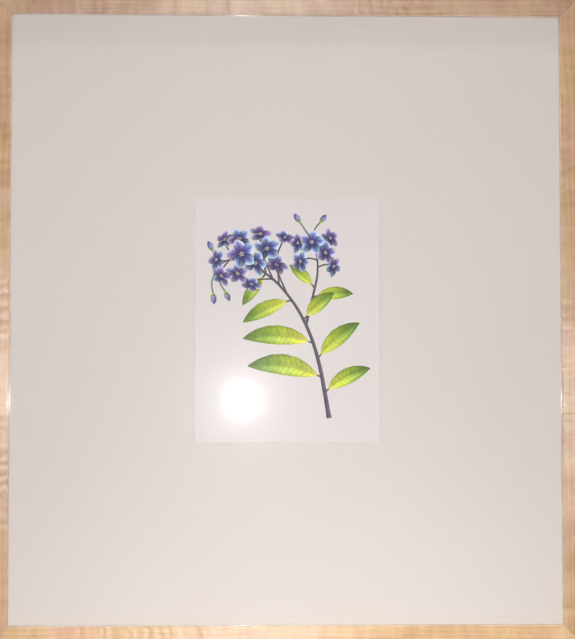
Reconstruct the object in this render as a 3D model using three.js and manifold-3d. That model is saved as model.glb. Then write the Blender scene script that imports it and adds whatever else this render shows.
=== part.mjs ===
// A framed print: four mitred maple rails around glass, a bevelled window mat,
// a print on its mount board, a foam backing held by framer's points, a paper
// dust cover, and a hinged D-ring hanger on the back of each side rail.
//
// Millimetres. X is right and Z is up as the picture hangs, and Y points into
// the wall, so the picture faces -Y. The shapes are laid out with y = 0 on the
// rails' back plane and x = z = 0 at the middle of the sight opening, and the
// whole is then moved so that the origin lies midway between the inner crowns
// of the two hanging rings, where the hooks bear.

import * as THREE from "three";
import { mergeVertices } from "three/addons/utils/BufferGeometryUtils.js";
import Module from "manifold-3d";

// ---- driving dimensions ----------------------------------------------------

const SIGHT_W = 673; // opening of the frame, seen from the front
const SIGHT_H = 745;
const FACE = 25; // width of the rails' front face
const DEPTH = 32; // front to back of the rails
const LIP = 9; // lip in front of the glass
const RABBET = 6.35; // how far the lip covers the glass
const ARRIS_OUT = 1.5; // radius of the rails' outer front edge
const ARRIS_IN = 2.2; // radius of the rails' inner front edge
const ARRIS_BACK = 0.6; // eased outer back edge
const MITRE_GAP = 0.1; // hairline between two rails at a mitre

const SHEET_PLAY = 1.5; // glass, mat and boards are this much short of the rabbet
const LAY = 0.1; // gap between sheets that lie on each other
const GLASS_T = 2;
const MAT_T = 3; // eight-ply board
const PRINT_T = 0.3;
const PRINT_ROOM = 0.2; // room for the paper hinges behind the print
const BOARD_T = 1.5; // four-ply mount board
const FOAM_T = 5;

const WINDOW_W = 230.4; // the mat's window at its front face
const WINDOW_H = 304.7;
const WINDOW_DX = 1.0; // hand-cut: a little off the middle
const WINDOW_DZ = -1.7;
const BEVEL = MAT_T; // 45 degrees

const PRINT_W = 254;
const PRINT_H = 330;

const HINGE_W = 30; // paper hinge at the print's top edge
const HINGE_H = 36;
const HINGE_T = 0.1;
const HINGE_X = 78; // each side of the middle
const MAT_TAPE_L = 420; // linen tape along the mat's top edge
const MAT_TAPE_H = 16;

const POINT_W = 8; // framer's point
const POINT_IN = 6; // driven into the rabbet's wall
const POINT_OUT = 9; // over the backing
const POINT_T = 0.5;
const POINT_Z = [-250, 0, 250]; // along the side rails
const POINT_X = [-220, 0, 220]; // along the top and bottom rails

const NAIL_LEG = 6; // V-nail
const NAIL_T = 0.6;
const NAIL_H = 12;
const NAIL_SINK = 0.5;
const NAIL_AT = [7.5, 17]; // from the outer corner, along the mitre

const COVER_T = 0.3; // kraft paper
const COVER_BACK = 3; // short of the outer edges
const COVER_R = 4;

const STRAP_W = 9.6;
const STRAP_T = 1.0; // one layer; the strap is folded double round the ring
const STRAP_L = 33; // below the ring's axis
const STRAP_LIFT = 0.3; // above the dust cover
const STRAP_FROM_EDGE = 10.6; // the strap's middle, from the frame's outer side
const RING_DROP = 230; // ring's axis below the frame's top edge

const WIRE_R = 1.25; // ring's wire
const RING_HALF_W = 8; // of the wire's centre line
const RING_CORNER = 3;
const RING_SIDE = 6; // where the straight sides end
const RING_PLAY = 0.3; // between wire and strap loop
const RING_BUTT = 0.4; // the bent wire's ends, inside the loop

const SCREW_AT = [9.2, 25.5]; // below the ring's axis
const SCREW_R = 1.5;
const SCREW_L = 13;
const HEAD_R = 3.1;
const HEAD_H = 2.1;
const HOLE_PLAY = 0.35;

const BUMPER_R = 5;
const BUMPER_H = 3;
const BUMPER_AT = 10; // from the frame's outer sides

// ---- derived ----------------------------------------------------------------

const OUT_W = SIGHT_W + 2 * FACE;
const OUT_H = SIGHT_H + 2 * FACE;
const WALL = FACE - RABBET; // wood behind the lip
const SHEET_W = SIGHT_W + 2 * RABBET - 2 * SHEET_PLAY;
const SHEET_H = SIGHT_H + 2 * RABBET - 2 * SHEET_PLAY;

const GLASS_Y = -DEPTH + LIP + LAY;
const MAT_Y = GLASS_Y + GLASS_T + LAY;
const PRINT_Y = MAT_Y + MAT_T + LAY;
const BOARD_Y = PRINT_Y + PRINT_T + PRINT_ROOM;
const FOAM_Y = BOARD_Y + BOARD_T + LAY;
const POINT_Y = FOAM_Y + FOAM_T + 0.2;
const COVER_Y = LAY;
const STRAP_Y = COVER_Y + COVER_T + STRAP_LIFT;
const LOOP_IN = WIRE_R + RING_PLAY;
const LOOP_OUT = LOOP_IN + STRAP_T;
const RING_Y = STRAP_Y + LOOP_OUT;
const RING_Z = OUT_H / 2 - RING_DROP;
const RING_CROWN = RING_SIDE + RING_HALF_W; // centre line, above the axis
const HANG_Z = RING_Z + RING_CROWN - WIRE_R;
const HANGER_X = OUT_W / 2 - STRAP_FROM_EDGE;
const HEAD_Y = STRAP_Y + 2 * STRAP_T + LAY;

// ---- helpers ----------------------------------------------------------------

const wasm = await Module();
wasm.setup();

function solid(geometry) {
  const g = (geometry.index ? geometry.toNonIndexed() : geometry).clone();
  for (const name of Object.keys(g.attributes))
    if (name !== "position") g.deleteAttribute(name);
  const merged = mergeVertices(g, 1e-4);
  return new wasm.Manifold(
    new wasm.Mesh({
      numProp: 3,
      vertProperties: new Float32Array(merged.attributes.position.array),
      triVerts: new Uint32Array(merged.index.array),
    }),
  );
}

function geometryOf(made) {
  const m = made.getMesh();
  const points = new Float32Array(m.numVert * 3);
  for (let i = 0; i < m.numVert; i++)
    points.set(
      m.vertProperties.subarray(i * m.numProp, i * m.numProp + 3),
      i * 3,
    );
  const g = new THREE.BufferGeometry();
  g.setAttribute("position", new THREE.BufferAttribute(points, 3));
  g.setIndex(new THREE.BufferAttribute(new Uint32Array(m.triVerts), 1));
  const flat = g.toNonIndexed();
  flat.computeVertexNormals();
  return flat;
}

const polygon = (points) =>
  new THREE.Shape(points.map(([a, b]) => new THREE.Vector2(a, b)));

const rectangle = (x0, z0, x1, z1) =>
  polygon([
    [x0, z0],
    [x1, z0],
    [x1, z1],
    [x0, z1],
  ]);

// A flat outline in X and Z, from y0 back to y1.
function plate(shape, y0, y1, curveSegments = 12) {
  const g = new THREE.ExtrudeGeometry(shape, {
    depth: y1 - y0,
    bevelEnabled: false,
    curveSegments,
  });
  return g.rotateX(Math.PI / 2).translate(0, y1, 0);
}

// A cylinder along Y.
const rod = (x, z, r, y0, y1, sides = 20) =>
  new THREE.CylinderGeometry(r, r, y1 - y0, sides).translate(
    x,
    (y0 + y1) / 2,
    z,
  );

function roundedRectangle(x0, z0, x1, z1, r) {
  const s = new THREE.Shape();
  s.moveTo(x0 + r, z0);
  s.lineTo(x1 - r, z0);
  s.absarc(x1 - r, z0 + r, r, -Math.PI / 2, 0, false);
  s.lineTo(x1, z1 - r);
  s.absarc(x1 - r, z1 - r, r, 0, Math.PI / 2, false);
  s.lineTo(x0 + r, z1);
  s.absarc(x0 + r, z1 - r, r, Math.PI / 2, Math.PI, false);
  s.lineTo(x0, z0 + r);
  s.absarc(x0 + r, z0 + r, r, Math.PI, 1.5 * Math.PI, false);
  return s;
}

// The point where a line from (px, pz) touches a circle, on its chosen side.
function tangentPoint(px, pz, cx, cz, r, side) {
  const dx = px - cx,
    dz = pz - cz,
    d = Math.hypot(dx, dz);
  const a = Math.atan2(dz, dx) + side * Math.acos(r / d);
  return [cx + r * Math.cos(a), cz + r * Math.sin(a), a];
}

const maple = new THREE.MeshStandardMaterial({
  color: 0xdcbb94,
  roughness: 0.42,
  metalness: 0,
});
const glass = new THREE.MeshStandardMaterial({
  color: 0xf2f6f5,
  roughness: 0.03,
  metalness: 0,
  transparent: true,
  opacity: 0.12,
});
const matBoard = new THREE.MeshStandardMaterial({
  color: 0xede4dc,
  roughness: 0.9,
  metalness: 0,
});
const printPaper = new THREE.MeshStandardMaterial({
  color: 0xebe6ec,
  roughness: 0.8,
  metalness: 0,
});
const board = new THREE.MeshStandardMaterial({
  color: 0xf0ece2,
  roughness: 0.9,
  metalness: 0,
});
const tissue = new THREE.MeshStandardMaterial({
  color: 0xf3efe4,
  roughness: 0.9,
  metalness: 0,
});
const linen = new THREE.MeshStandardMaterial({
  color: 0xf1ede0,
  roughness: 0.95,
  metalness: 0,
});
const foam = new THREE.MeshStandardMaterial({
  color: 0xf4f3ef,
  roughness: 0.85,
  metalness: 0,
});
const kraft = new THREE.MeshStandardMaterial({
  color: 0xa98156,
  roughness: 0.85,
  metalness: 0,
});
const zinc = new THREE.MeshStandardMaterial({
  color: 0xb9bcc0,
  roughness: 0.32,
  metalness: 1,
});
const springSteel = new THREE.MeshStandardMaterial({
  color: 0x7f838a,
  roughness: 0.4,
  metalness: 1,
});
const felt = new THREE.MeshStandardMaterial({
  color: 0x8b8478,
  roughness: 1,
  metalness: 0,
});

const picture = new THREE.Group();
picture.name = "framed_print";
picture.position.set(0, -RING_Y, -HANG_Z);

const glazed = new THREE.Group();
const backed = new THREE.Group();
const frameRails = new THREE.Group();
const hangers = new THREE.Group();
picture.add(frameRails, glazed, backed, hangers);

function add(group, name, geometry, material) {
  const mesh = new THREE.Mesh(geometry, material);
  mesh.name = name;
  group.add(mesh);
  return mesh;
}

// ---- fasteners that are let into the wood --------------------------------------

// V-nail outline at a corner: one leg in each rail. grow widens it to its slot.
function nailOutline(sx, sz, at, grow) {
  const cx = (sx * OUT_W) / 2 - (sx * at) / Math.SQRT2;
  const cz = (sz * OUT_H) / 2 - (sz * at) / Math.SQRT2;
  const e = grow,
    l = NAIL_LEG,
    t = NAIL_T;
  return polygon(
    [
      [-e, -e],
      [l + e, -e],
      [l + e, t + e],
      [t + e, t + e],
      [t + e, l + e],
      [-e, l + e],
    ].map(([a, b]) => [cx - sx * a, cz - sz * b]),
  );
}

// Framer's point: a tab whose tip goes into the wood in the direction (ox, oz).
function pointOutline(cx, cz, ox, oz) {
  const h = POINT_W / 2;
  return polygon(
    [
      [-h, -POINT_OUT],
      [h, -POINT_OUT],
      [h, POINT_IN - 3],
      [0, POINT_IN],
      [-h, POINT_IN - 3],
    ].map(([p, q]) => [cx + ox * q + oz * p, cz + oz * q - ox * p]),
  );
}

function pointPocket(cx, cz, ox, oz) {
  const h = POINT_W / 2 + 0.3,
    q0 = -1,
    q1 = POINT_IN + 0.3;
  const corners = [
    [-h, q0],
    [h, q0],
    [h, q1],
    [-h, q1],
  ].map(([p, q]) => [cx + ox * q + oz * p, cz + oz * q - ox * p]);
  return plate(polygon(corners), POINT_Y - 0.3, POINT_Y + POINT_T + 0.3);
}

const corners = [
  ["top_left", -1, 1],
  ["top_right", 1, 1],
  ["bottom_left", -1, -1],
  ["bottom_right", 1, -1],
];
const wallX = OUT_W / 2 - WALL,
  wallZ = OUT_H / 2 - WALL;
const points = [
  ...POINT_X.map((x, i) => ["top_" + (i + 1), x, wallZ, 0, 1]),
  ...POINT_X.map((x, i) => ["bottom_" + (i + 1), x, -wallZ, 0, -1]),
  ...POINT_Z.map((z, i) => ["left_" + (i + 1), -wallX, z, -1, 0]),
  ...POINT_Z.map((z, i) => ["right_" + (i + 1), wallX, z, 1, 0]),
];
const screws = [
  ["left_upper", -HANGER_X, RING_Z - SCREW_AT[0]],
  ["left_lower", -HANGER_X, RING_Z - SCREW_AT[1]],
  ["right_upper", HANGER_X, RING_Z - SCREW_AT[0]],
  ["right_lower", HANGER_X, RING_Z - SCREW_AT[1]],
];

const letIn = [
  ...corners.flatMap(([, sx, sz]) =>
    NAIL_AT.map((at) =>
      solid(
        plate(
          nailOutline(sx, sz, at, 0.3),
          -NAIL_SINK - NAIL_H - 0.3,
          1,
        ),
      ),
    ),
  ),
  ...points.map(([, x, z, ox, oz]) => solid(pointPocket(x, z, ox, oz))),
  ...screws.map(([, x, z]) =>
    solid(
      rod(x, z, SCREW_R + HOLE_PLAY, HEAD_Y - SCREW_L - 0.4 - HEAD_H, 1, 16),
    ),
  ),
];

// ---- rails -------------------------------------------------------------------

// Section from the outer side (u = 0) to the sight edge (u = FACE).
function railSection() {
  const s = new THREE.Shape();
  s.moveTo(ARRIS_BACK, 0);
  s.lineTo(0, -ARRIS_BACK);
  s.lineTo(0, -DEPTH + ARRIS_OUT);
  s.absarc(ARRIS_OUT, -DEPTH + ARRIS_OUT, ARRIS_OUT, Math.PI, 1.5 * Math.PI);
  s.lineTo(FACE - ARRIS_IN, -DEPTH);
  s.absarc(FACE - ARRIS_IN, -DEPTH + ARRIS_IN, ARRIS_IN, -Math.PI / 2, 0);
  s.lineTo(FACE, -DEPTH + LIP);
  s.lineTo(WALL, -DEPTH + LIP);
  s.lineTo(WALL, 0);
  return s;
}

// A rail of outer length l, whose outer side lies d from the middle, made as
// the bottom rail and then turned about Y. Each end is drawn in by the
// distance from the outer side, which cuts the mitre.
function rail(l, d, turn) {
  const g = new THREE.ExtrudeGeometry(railSection(), {
    depth: 1,
    bevelEnabled: false,
    curveSegments: 5,
  });
  const p = g.getAttribute("position");
  for (let i = 0; i < p.count; i++) {
    const u = p.getX(i),
      y = p.getY(i),
      end = p.getZ(i) > 0.5 ? -1 : 1;
    p.setXYZ(i, end * (l / 2 - u - MITRE_GAP / Math.SQRT2), y, -d + u);
  }
  g.rotateY(turn);
  let made = solid(g);
  for (const cut of letIn) made = made.subtract(cut);
  return geometryOf(made);
}

add(frameRails, "frame_rail_bottom", rail(OUT_W, OUT_H / 2, 0), maple);
add(frameRails, "frame_rail_top", rail(OUT_W, OUT_H / 2, Math.PI), maple);
add(frameRails, "frame_rail_right", rail(OUT_H, OUT_W / 2, -Math.PI / 2), maple);
add(frameRails, "frame_rail_left", rail(OUT_H, OUT_W / 2, Math.PI / 2), maple);

for (const [corner, sx, sz] of corners)
  NAIL_AT.forEach((at, i) =>
    add(
      frameRails,
      "v_nail_" + corner + (i ? "_inner" : "_outer"),
      plate(nailOutline(sx, sz, at, 0), -NAIL_SINK - NAIL_H, -NAIL_SINK),
      springSteel,
    ),
  );

// ---- what the frame holds ------------------------------------------------------

const sheet = (y, t) =>
  plate(
    rectangle(-SHEET_W / 2, -SHEET_H / 2, SHEET_W / 2, SHEET_H / 2),
    y,
    y + t,
  );

add(glazed, "glazing", sheet(GLASS_Y, GLASS_T), glass);

// The window is cut at 45 degrees: the hole at the back is smaller by the bevel.
{
  const shape = rectangle(-SHEET_W / 2, -SHEET_H / 2, SHEET_W / 2, SHEET_H / 2);
  const hw = WINDOW_W / 2 - BEVEL,
    hh = WINDOW_H / 2 - BEVEL;
  shape.holes.push(
    rectangle(
      WINDOW_DX - hw,
      WINDOW_DZ - hh,
      WINDOW_DX + hw,
      WINDOW_DZ + hh,
    ),
  );
  const g = plate(shape, MAT_Y, MAT_Y + MAT_T);
  const p = g.getAttribute("position");
  for (let i = 0; i < p.count; i++) {
    const x = p.getX(i) - WINDOW_DX,
      z = p.getZ(i) - WINDOW_DZ;
    const inHole = Math.abs(x) < hw + 1 && Math.abs(z) < hh + 1;
    if (inHole && p.getY(i) < MAT_Y + MAT_T / 2) {
      p.setX(i, WINDOW_DX + x + Math.sign(x) * BEVEL);
      p.setZ(i, WINDOW_DZ + z + Math.sign(z) * BEVEL);
    }
  }
  g.computeVertexNormals();
  add(glazed, "window_mat", g, matBoard);
}

add(
  backed,
  "print_sheet",
  plate(
    rectangle(
      WINDOW_DX - PRINT_W / 2,
      WINDOW_DZ - PRINT_H / 2,
      WINDOW_DX + PRINT_W / 2,
      WINDOW_DZ + PRINT_H / 2,
    ),
    PRINT_Y,
    PRINT_Y + PRINT_T,
  ),
  printPaper,
);

// Paper hinges: half on the print's back, half on the board above it.
for (const [side, s] of [
  ["left", -1],
  ["right", 1],
]) {
  const x = WINDOW_DX + s * HINGE_X,
    z = WINDOW_DZ + PRINT_H / 2;
  add(
    backed,
    "print_hinge_" + side,
    plate(
      rectangle(x - HINGE_W / 2, z - HINGE_H / 2, x + HINGE_W / 2, z + HINGE_H / 2),
      PRINT_Y + PRINT_T + 0.05,
      PRINT_Y + PRINT_T + 0.05 + HINGE_T,
    ),
    tissue,
  );
}

// The tape that joins mat and board along the top: a folded strip, open below.
{
  const y0 = MAT_Y + MAT_T + 0.05,
    y1 = BOARD_Y - 0.05,
    t = 0.12,
    top = SHEET_H / 2 - 1;
  const section = polygon([
    [y0, top - MAT_TAPE_H],
    [y0 + t, top - MAT_TAPE_H],
    [y0 + t, top - t],
    [y1 - t, top - t],
    [y1 - t, top - MAT_TAPE_H],
    [y1, top - MAT_TAPE_H],
    [y1, top],
    [y0, top],
  ]);
  // The section's plane is Y and Z, so its extrusion is laid along X.
  const g = new THREE.ExtrudeGeometry(section, {
    depth: MAT_TAPE_L,
    bevelEnabled: false,
  });
  g.applyMatrix4(
    new THREE.Matrix4().makeBasis(
      new THREE.Vector3(0, 1, 0),
      new THREE.Vector3(0, 0, 1),
      new THREE.Vector3(1, 0, 0),
    ),
  ).translate(-MAT_TAPE_L / 2, 0, 0);
  add(backed, "mat_hinge_tape", g, linen);
}

add(backed, "mount_board", sheet(BOARD_Y, BOARD_T), board);
add(backed, "backing_board", sheet(FOAM_Y, FOAM_T), foam);

for (const [name, x, z, ox, oz] of points)
  add(
    backed,
    "framers_point_" + name,
    plate(pointOutline(x, z, ox, oz), POINT_Y, POINT_Y + POINT_T),
    springSteel,
  );

{
  const w = OUT_W / 2 - COVER_BACK,
    h = OUT_H / 2 - COVER_BACK;
  let made = solid(
    plate(
      roundedRectangle(-w, -h, w, h, COVER_R),
      COVER_Y,
      COVER_Y + COVER_T,
      3,
    ),
  );
  for (const [, x, z] of screws)
    made = made.subtract(solid(rod(x, z, SCREW_R + HOLE_PLAY, -1, 2, 16)));
  add(backed, "dust_cover", geometryOf(made), kraft);
}

// ---- hangers -------------------------------------------------------------------

// The strap's side view: folded round the ring's bar, then both layers flat.
function strapSection() {
  const join = [STRAP_T, -4.4], // where the two layers meet
    knee = [2 * STRAP_T, -5.6]; // where the upper layer lies flat outside
  const outer = [],
    inner = [];
  const [, , aOut] = tangentPoint(knee[0], knee[1], LOOP_OUT, 0, LOOP_OUT, 1);
  const [, , aIn] = tangentPoint(join[0], join[1], LOOP_OUT, 0, LOOP_IN, 1);
  const arc = (list, r, a0, a1, n) => {
    for (let i = 0; i <= n; i++) {
      const a = a0 + ((a1 - a0) * i) / n;
      list.push([LOOP_OUT + r * Math.cos(a), r * Math.sin(a)]);
    }
  };
  const unwind = (a) => (a > Math.PI ? a - 2 * Math.PI : a);
  outer.push([0, -STRAP_L]);
  outer.push([2 * STRAP_T, -STRAP_L], knee);
  arc(outer, LOOP_OUT, unwind(aOut), Math.PI, 14);
  inner.push(join);
  arc(inner, LOOP_IN, unwind(aIn), Math.PI, 14);
  const s = polygon(outer.map(([w, z]) => [w, z]));
  s.holes.push(polygon(inner));
  return s;
}

function strap(x) {
  const g = new THREE.ExtrudeGeometry(strapSection(), {
    depth: STRAP_W,
    bevelEnabled: false,
  });
  g.applyMatrix4(
    new THREE.Matrix4().makeBasis(
      new THREE.Vector3(0, 1, 0),
      new THREE.Vector3(0, 0, 1),
      new THREE.Vector3(1, 0, 0),
    ),
  ).translate(x - STRAP_W / 2, STRAP_Y, RING_Z);
  let made = solid(g);
  const h = STRAP_W / 2;
  const outline = new THREE.Shape();
  outline.moveTo(x - h, RING_Z + LOOP_OUT + 1);
  outline.lineTo(x - h, RING_Z - STRAP_L + h);
  outline.absarc(x, RING_Z - STRAP_L + h, h, Math.PI, 2 * Math.PI, false);
  outline.lineTo(x + h, RING_Z + LOOP_OUT + 1);
  made = made.intersect(
    solid(plate(outline, STRAP_Y - 1, RING_Y + LOOP_OUT + 1, 10)),
  );
  for (const below of SCREW_AT)
    made = made.subtract(
      solid(
        rod(x, RING_Z - below, SCREW_R + HOLE_PLAY, STRAP_Y - 1, HEAD_Y + 1, 16),
      ),
    );
  return geometryOf(made);
}

// The ring's wire: from the middle of its bar, round the bow and back.
class RingPath extends THREE.Curve {
  constructor() {
    super();
    const c = RING_CORNER,
      w = RING_HALF_W,
      parts = [];
    const line = (x0, z0, x1, z1) =>
      parts.push({
        l: Math.hypot(x1 - x0, z1 - z0),
        at: (t) => [x0 + (x1 - x0) * t, z0 + (z1 - z0) * t],
      });
    const arc = (cx, cz, r, a0, a1) =>
      parts.push({
        l: r * Math.abs(a1 - a0),
        at: (t) => {
          const a = a0 + (a1 - a0) * t;
          return [cx + r * Math.cos(a), cz + r * Math.sin(a)];
        },
      });
    line(RING_BUTT / 2, 0, w - c, 0);
    arc(w - c, c, c, -Math.PI / 2, 0);
    line(w, c, w, RING_SIDE);
    arc(0, RING_SIDE, w, 0, Math.PI);
    line(-w, RING_SIDE, -w, c);
    arc(-w + c, c, c, Math.PI, 1.5 * Math.PI);
    line(-w + c, 0, -RING_BUTT / 2, 0);
    this.parts = parts;
    this.total = parts.reduce((s, p) => s + p.l, 0);
  }
  getPoint(t, target = new THREE.Vector3()) {
    let s = Math.min(Math.max(t, 0), 1) * this.total;
    for (const [i, p] of this.parts.entries()) {
      if (s <= p.l || i === this.parts.length - 1) {
        const [x, z] = p.at(Math.min(1, s / p.l));
        return target.set(x, 0, z);
      }
      s -= p.l;
    }
    return target;
  }
}

function ring(x) {
  const section = new THREE.Shape();
  section.absarc(0, 0, WIRE_R, 0, 2 * Math.PI, false);
  const g = new THREE.ExtrudeGeometry(section, {
    steps: 60,
    curveSegments: 6,
    extrudePath: new RingPath(),
  });
  return g.translate(x, RING_Y, RING_Z);
}

// A pan-head wood screw along Y, with a cross recess in its head.
function screw(x, z) {
  const profile = [
    [0, -SCREW_L],
    [SCREW_R * 0.55, -SCREW_L + 2.6],
    [SCREW_R, -SCREW_L + 4.4],
    [SCREW_R, 0],
    [HEAD_R, 0],
    [HEAD_R, 0.55],
    [HEAD_R * 0.93, 1.15],
    [HEAD_R * 0.72, 1.7],
    [HEAD_R * 0.4, HEAD_H - 0.06],
    [0, HEAD_H],
  ];
  const body = new THREE.LatheGeometry(
    profile.map(([r, y]) => new THREE.Vector2(r, y)),
    20,
  );
  let made = solid(body);
  for (const turn of [0, Math.PI / 2]) {
    const slot = new THREE.BoxGeometry(3.4, 3, 0.75);
    slot.translate(0, HEAD_H + 0.3, 0).rotateY(Math.PI / 4 + turn);
    made = made.subtract(solid(slot));
  }
  return geometryOf(made).translate(x, HEAD_Y, z);
}

for (const [side, s] of [
  ["left", -1],
  ["right", 1],
]) {
  const x = s * HANGER_X;
  add(hangers, "hanger_strap_" + side, strap(x), zinc);
  add(hangers, "hanger_ring_" + side, ring(x), zinc);
}
for (const [name, x, z] of screws)
  add(hangers, "hanger_screw_" + name, screw(x, z), zinc);

// Wall bumpers: felt discs with an eased back edge.
for (const [side, s] of [
  ["left", -1],
  ["right", 1],
]) {
  const profile = [
    [0, 0],
    [BUMPER_R, 0],
    [BUMPER_R, BUMPER_H - 0.5],
    [BUMPER_R - 0.5, BUMPER_H],
    [0, BUMPER_H],
  ];
  add(
    hangers,
    "wall_bumper_" + side,
    new THREE.LatheGeometry(
      profile.map(([r, y]) => new THREE.Vector2(r, y)),
      28,
    ).translate(
      s * (OUT_W / 2 - BUMPER_AT),
      COVER_Y + COVER_T + LAY,
      -OUT_H / 2 + BUMPER_AT,
    ),
    felt,
  );
}

export default picture;
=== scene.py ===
"""A framed, glazed and matted botanical print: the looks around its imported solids.

Metres in the row frame. The working dimensions below are millimetres from the middle of the
sight opening and the rails' back plane, and at() and place() carry them to the row frame.
"""

import math

import bmesh
import bpy
import numpy as np
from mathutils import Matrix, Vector
from mathutils.geometry import delaunay_2d_cdt


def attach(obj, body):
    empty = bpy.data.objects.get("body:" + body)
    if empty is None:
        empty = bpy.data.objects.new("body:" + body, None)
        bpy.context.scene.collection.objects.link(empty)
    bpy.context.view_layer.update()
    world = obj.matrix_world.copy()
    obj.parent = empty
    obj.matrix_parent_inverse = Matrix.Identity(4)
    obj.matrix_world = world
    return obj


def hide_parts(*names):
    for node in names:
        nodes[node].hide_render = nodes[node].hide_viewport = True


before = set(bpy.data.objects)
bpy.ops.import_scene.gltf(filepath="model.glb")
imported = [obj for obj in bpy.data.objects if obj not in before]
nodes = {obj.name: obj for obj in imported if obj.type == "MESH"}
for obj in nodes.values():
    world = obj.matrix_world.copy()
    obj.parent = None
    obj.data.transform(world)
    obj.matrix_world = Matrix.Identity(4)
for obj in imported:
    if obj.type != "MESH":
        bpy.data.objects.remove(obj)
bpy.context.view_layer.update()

# ---- sizes, in millimetres --------------------------------------------------------------------

SIGHT_W, SIGHT_H = 673.0, 745.0
FACE, DEPTH, LIP, RABBET = 25.0, 32.0, 9.0, 6.35
ARRIS_OUT, ARRIS_IN, ARRIS_BACK = 1.5, 2.2, 0.6
SHEET_W, SHEET_H = SIGHT_W + 2 * RABBET - 3.0, SIGHT_H + 2 * RABBET - 3.0
MAT_Y, MAT_T = -20.8, 3.0
WINDOW_W, WINDOW_H, WINDOW_DX, WINDOW_DZ = 230.4, 304.7, 1.0, -1.7
PRINT_W, PRINT_H, PRINT_Y, PRINT_T = 254.0, 330.0, -17.7, 0.3
COVER_W, COVER_H, COVER_Y, COVER_T = 717.0, 789.0, 0.1, 0.3
RING_Y, RING_Z, HANG_Z = 3.25, 167.5, 180.25
HANGER_X = 350.9
STRAP_W, STRAP_T, STRAP_L, STRAP_Y = 9.6, 1.0, 33.0, 0.7
LOOP_IN, LOOP_OUT = 1.55, 2.55
WIRE_R, RING_HALF_W, RING_CORNER, RING_SIDE, RING_BUTT = 1.25, 8.0, 3.0, 6.0, 0.4
SCREW_AT, SCREW_R, SCREW_L, HEAD_R, HEAD_H, HEAD_Y = (9.2, 25.5), 1.5, 13.0, 3.1, 2.1, 2.8
BUMPER_R, BUMPER_H, BUMPER_Y = 5.0, 3.0, 0.5
BUMPER_X, BUMPER_Z = 351.5, -387.5


def at(x, y, z):
    """A point in millimetres from the sight opening's middle, in the row frame in metres."""
    return Vector((x / 1000, (y - RING_Y) / 1000, (z - HANG_Z) / 1000))


def place(points):
    """The same for an array of points."""
    p = np.asarray(points, float)
    return (p - np.array([0, RING_Y, HANG_Z])) / 1000


def smooth(lo, hi, x):
    t = np.clip((np.asarray(x, float) - lo) / (hi - lo), 0, 1)
    return t * t * (3 - 2 * t)


def mix(a, b, t):
    t = np.asarray(t, float)
    return a + (b - a) * (t[..., None] if t.ndim else t)


def hashed(i, j, seed):
    n = (i * 73856093) ^ (j * 19349663) ^ (seed * 83492791)
    n = (n ^ (n >> 13)) * 1274126177 & 0xFFFFFFFF
    n = (n ^ (n >> 16)) * 668265263 & 0xFFFFFFFF
    return ((n >> 8) & 0xFFFF) / 65535.0


def noise(x, y, seed=0):
    """Smooth noise from 0 to 1 with one cell per unit."""
    x, y = np.asarray(x, float), np.asarray(y, float)
    xi, yi = np.floor(x).astype(np.int64), np.floor(y).astype(np.int64)
    fx, fy = x - xi, y - yi
    fx, fy = fx * fx * (3 - 2 * fx), fy * fy * (3 - 2 * fy)
    a, b = hashed(xi, yi, seed), hashed(xi + 1, yi, seed)
    d, e = hashed(xi, yi + 1, seed), hashed(xi + 1, yi + 1, seed)
    return (a + (b - a) * fx) * (1 - fy) + (d + (e - d) * fx) * fy


# ---- the camera ---------------------------------------------------------------------------------

cam_data = bpy.data.cameras.new("camera")
cam_data.lens, cam_data.sensor_width = 95.5, 36.0
cam_data.clip_start, cam_data.clip_end = 0.05, 50
cam = bpy.data.objects.new("camera", cam_data)
bpy.context.scene.collection.objects.link(cam)
CAM_AT = Vector((-0.0584, -2.09565, -0.27465))
YAW, PITCH = 0.0287, 0.0448
looking = Vector((math.sin(YAW) * math.cos(PITCH), math.cos(YAW) * math.cos(PITCH), math.sin(PITCH)))
cam.location = CAM_AT
cam.rotation_mode = "QUATERNION"
cam.rotation_quaternion = looking.to_track_quat("-Z", "Y")
bpy.context.scene.camera = cam

# ---- materials ------------------------------------------------------------------------------------


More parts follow.
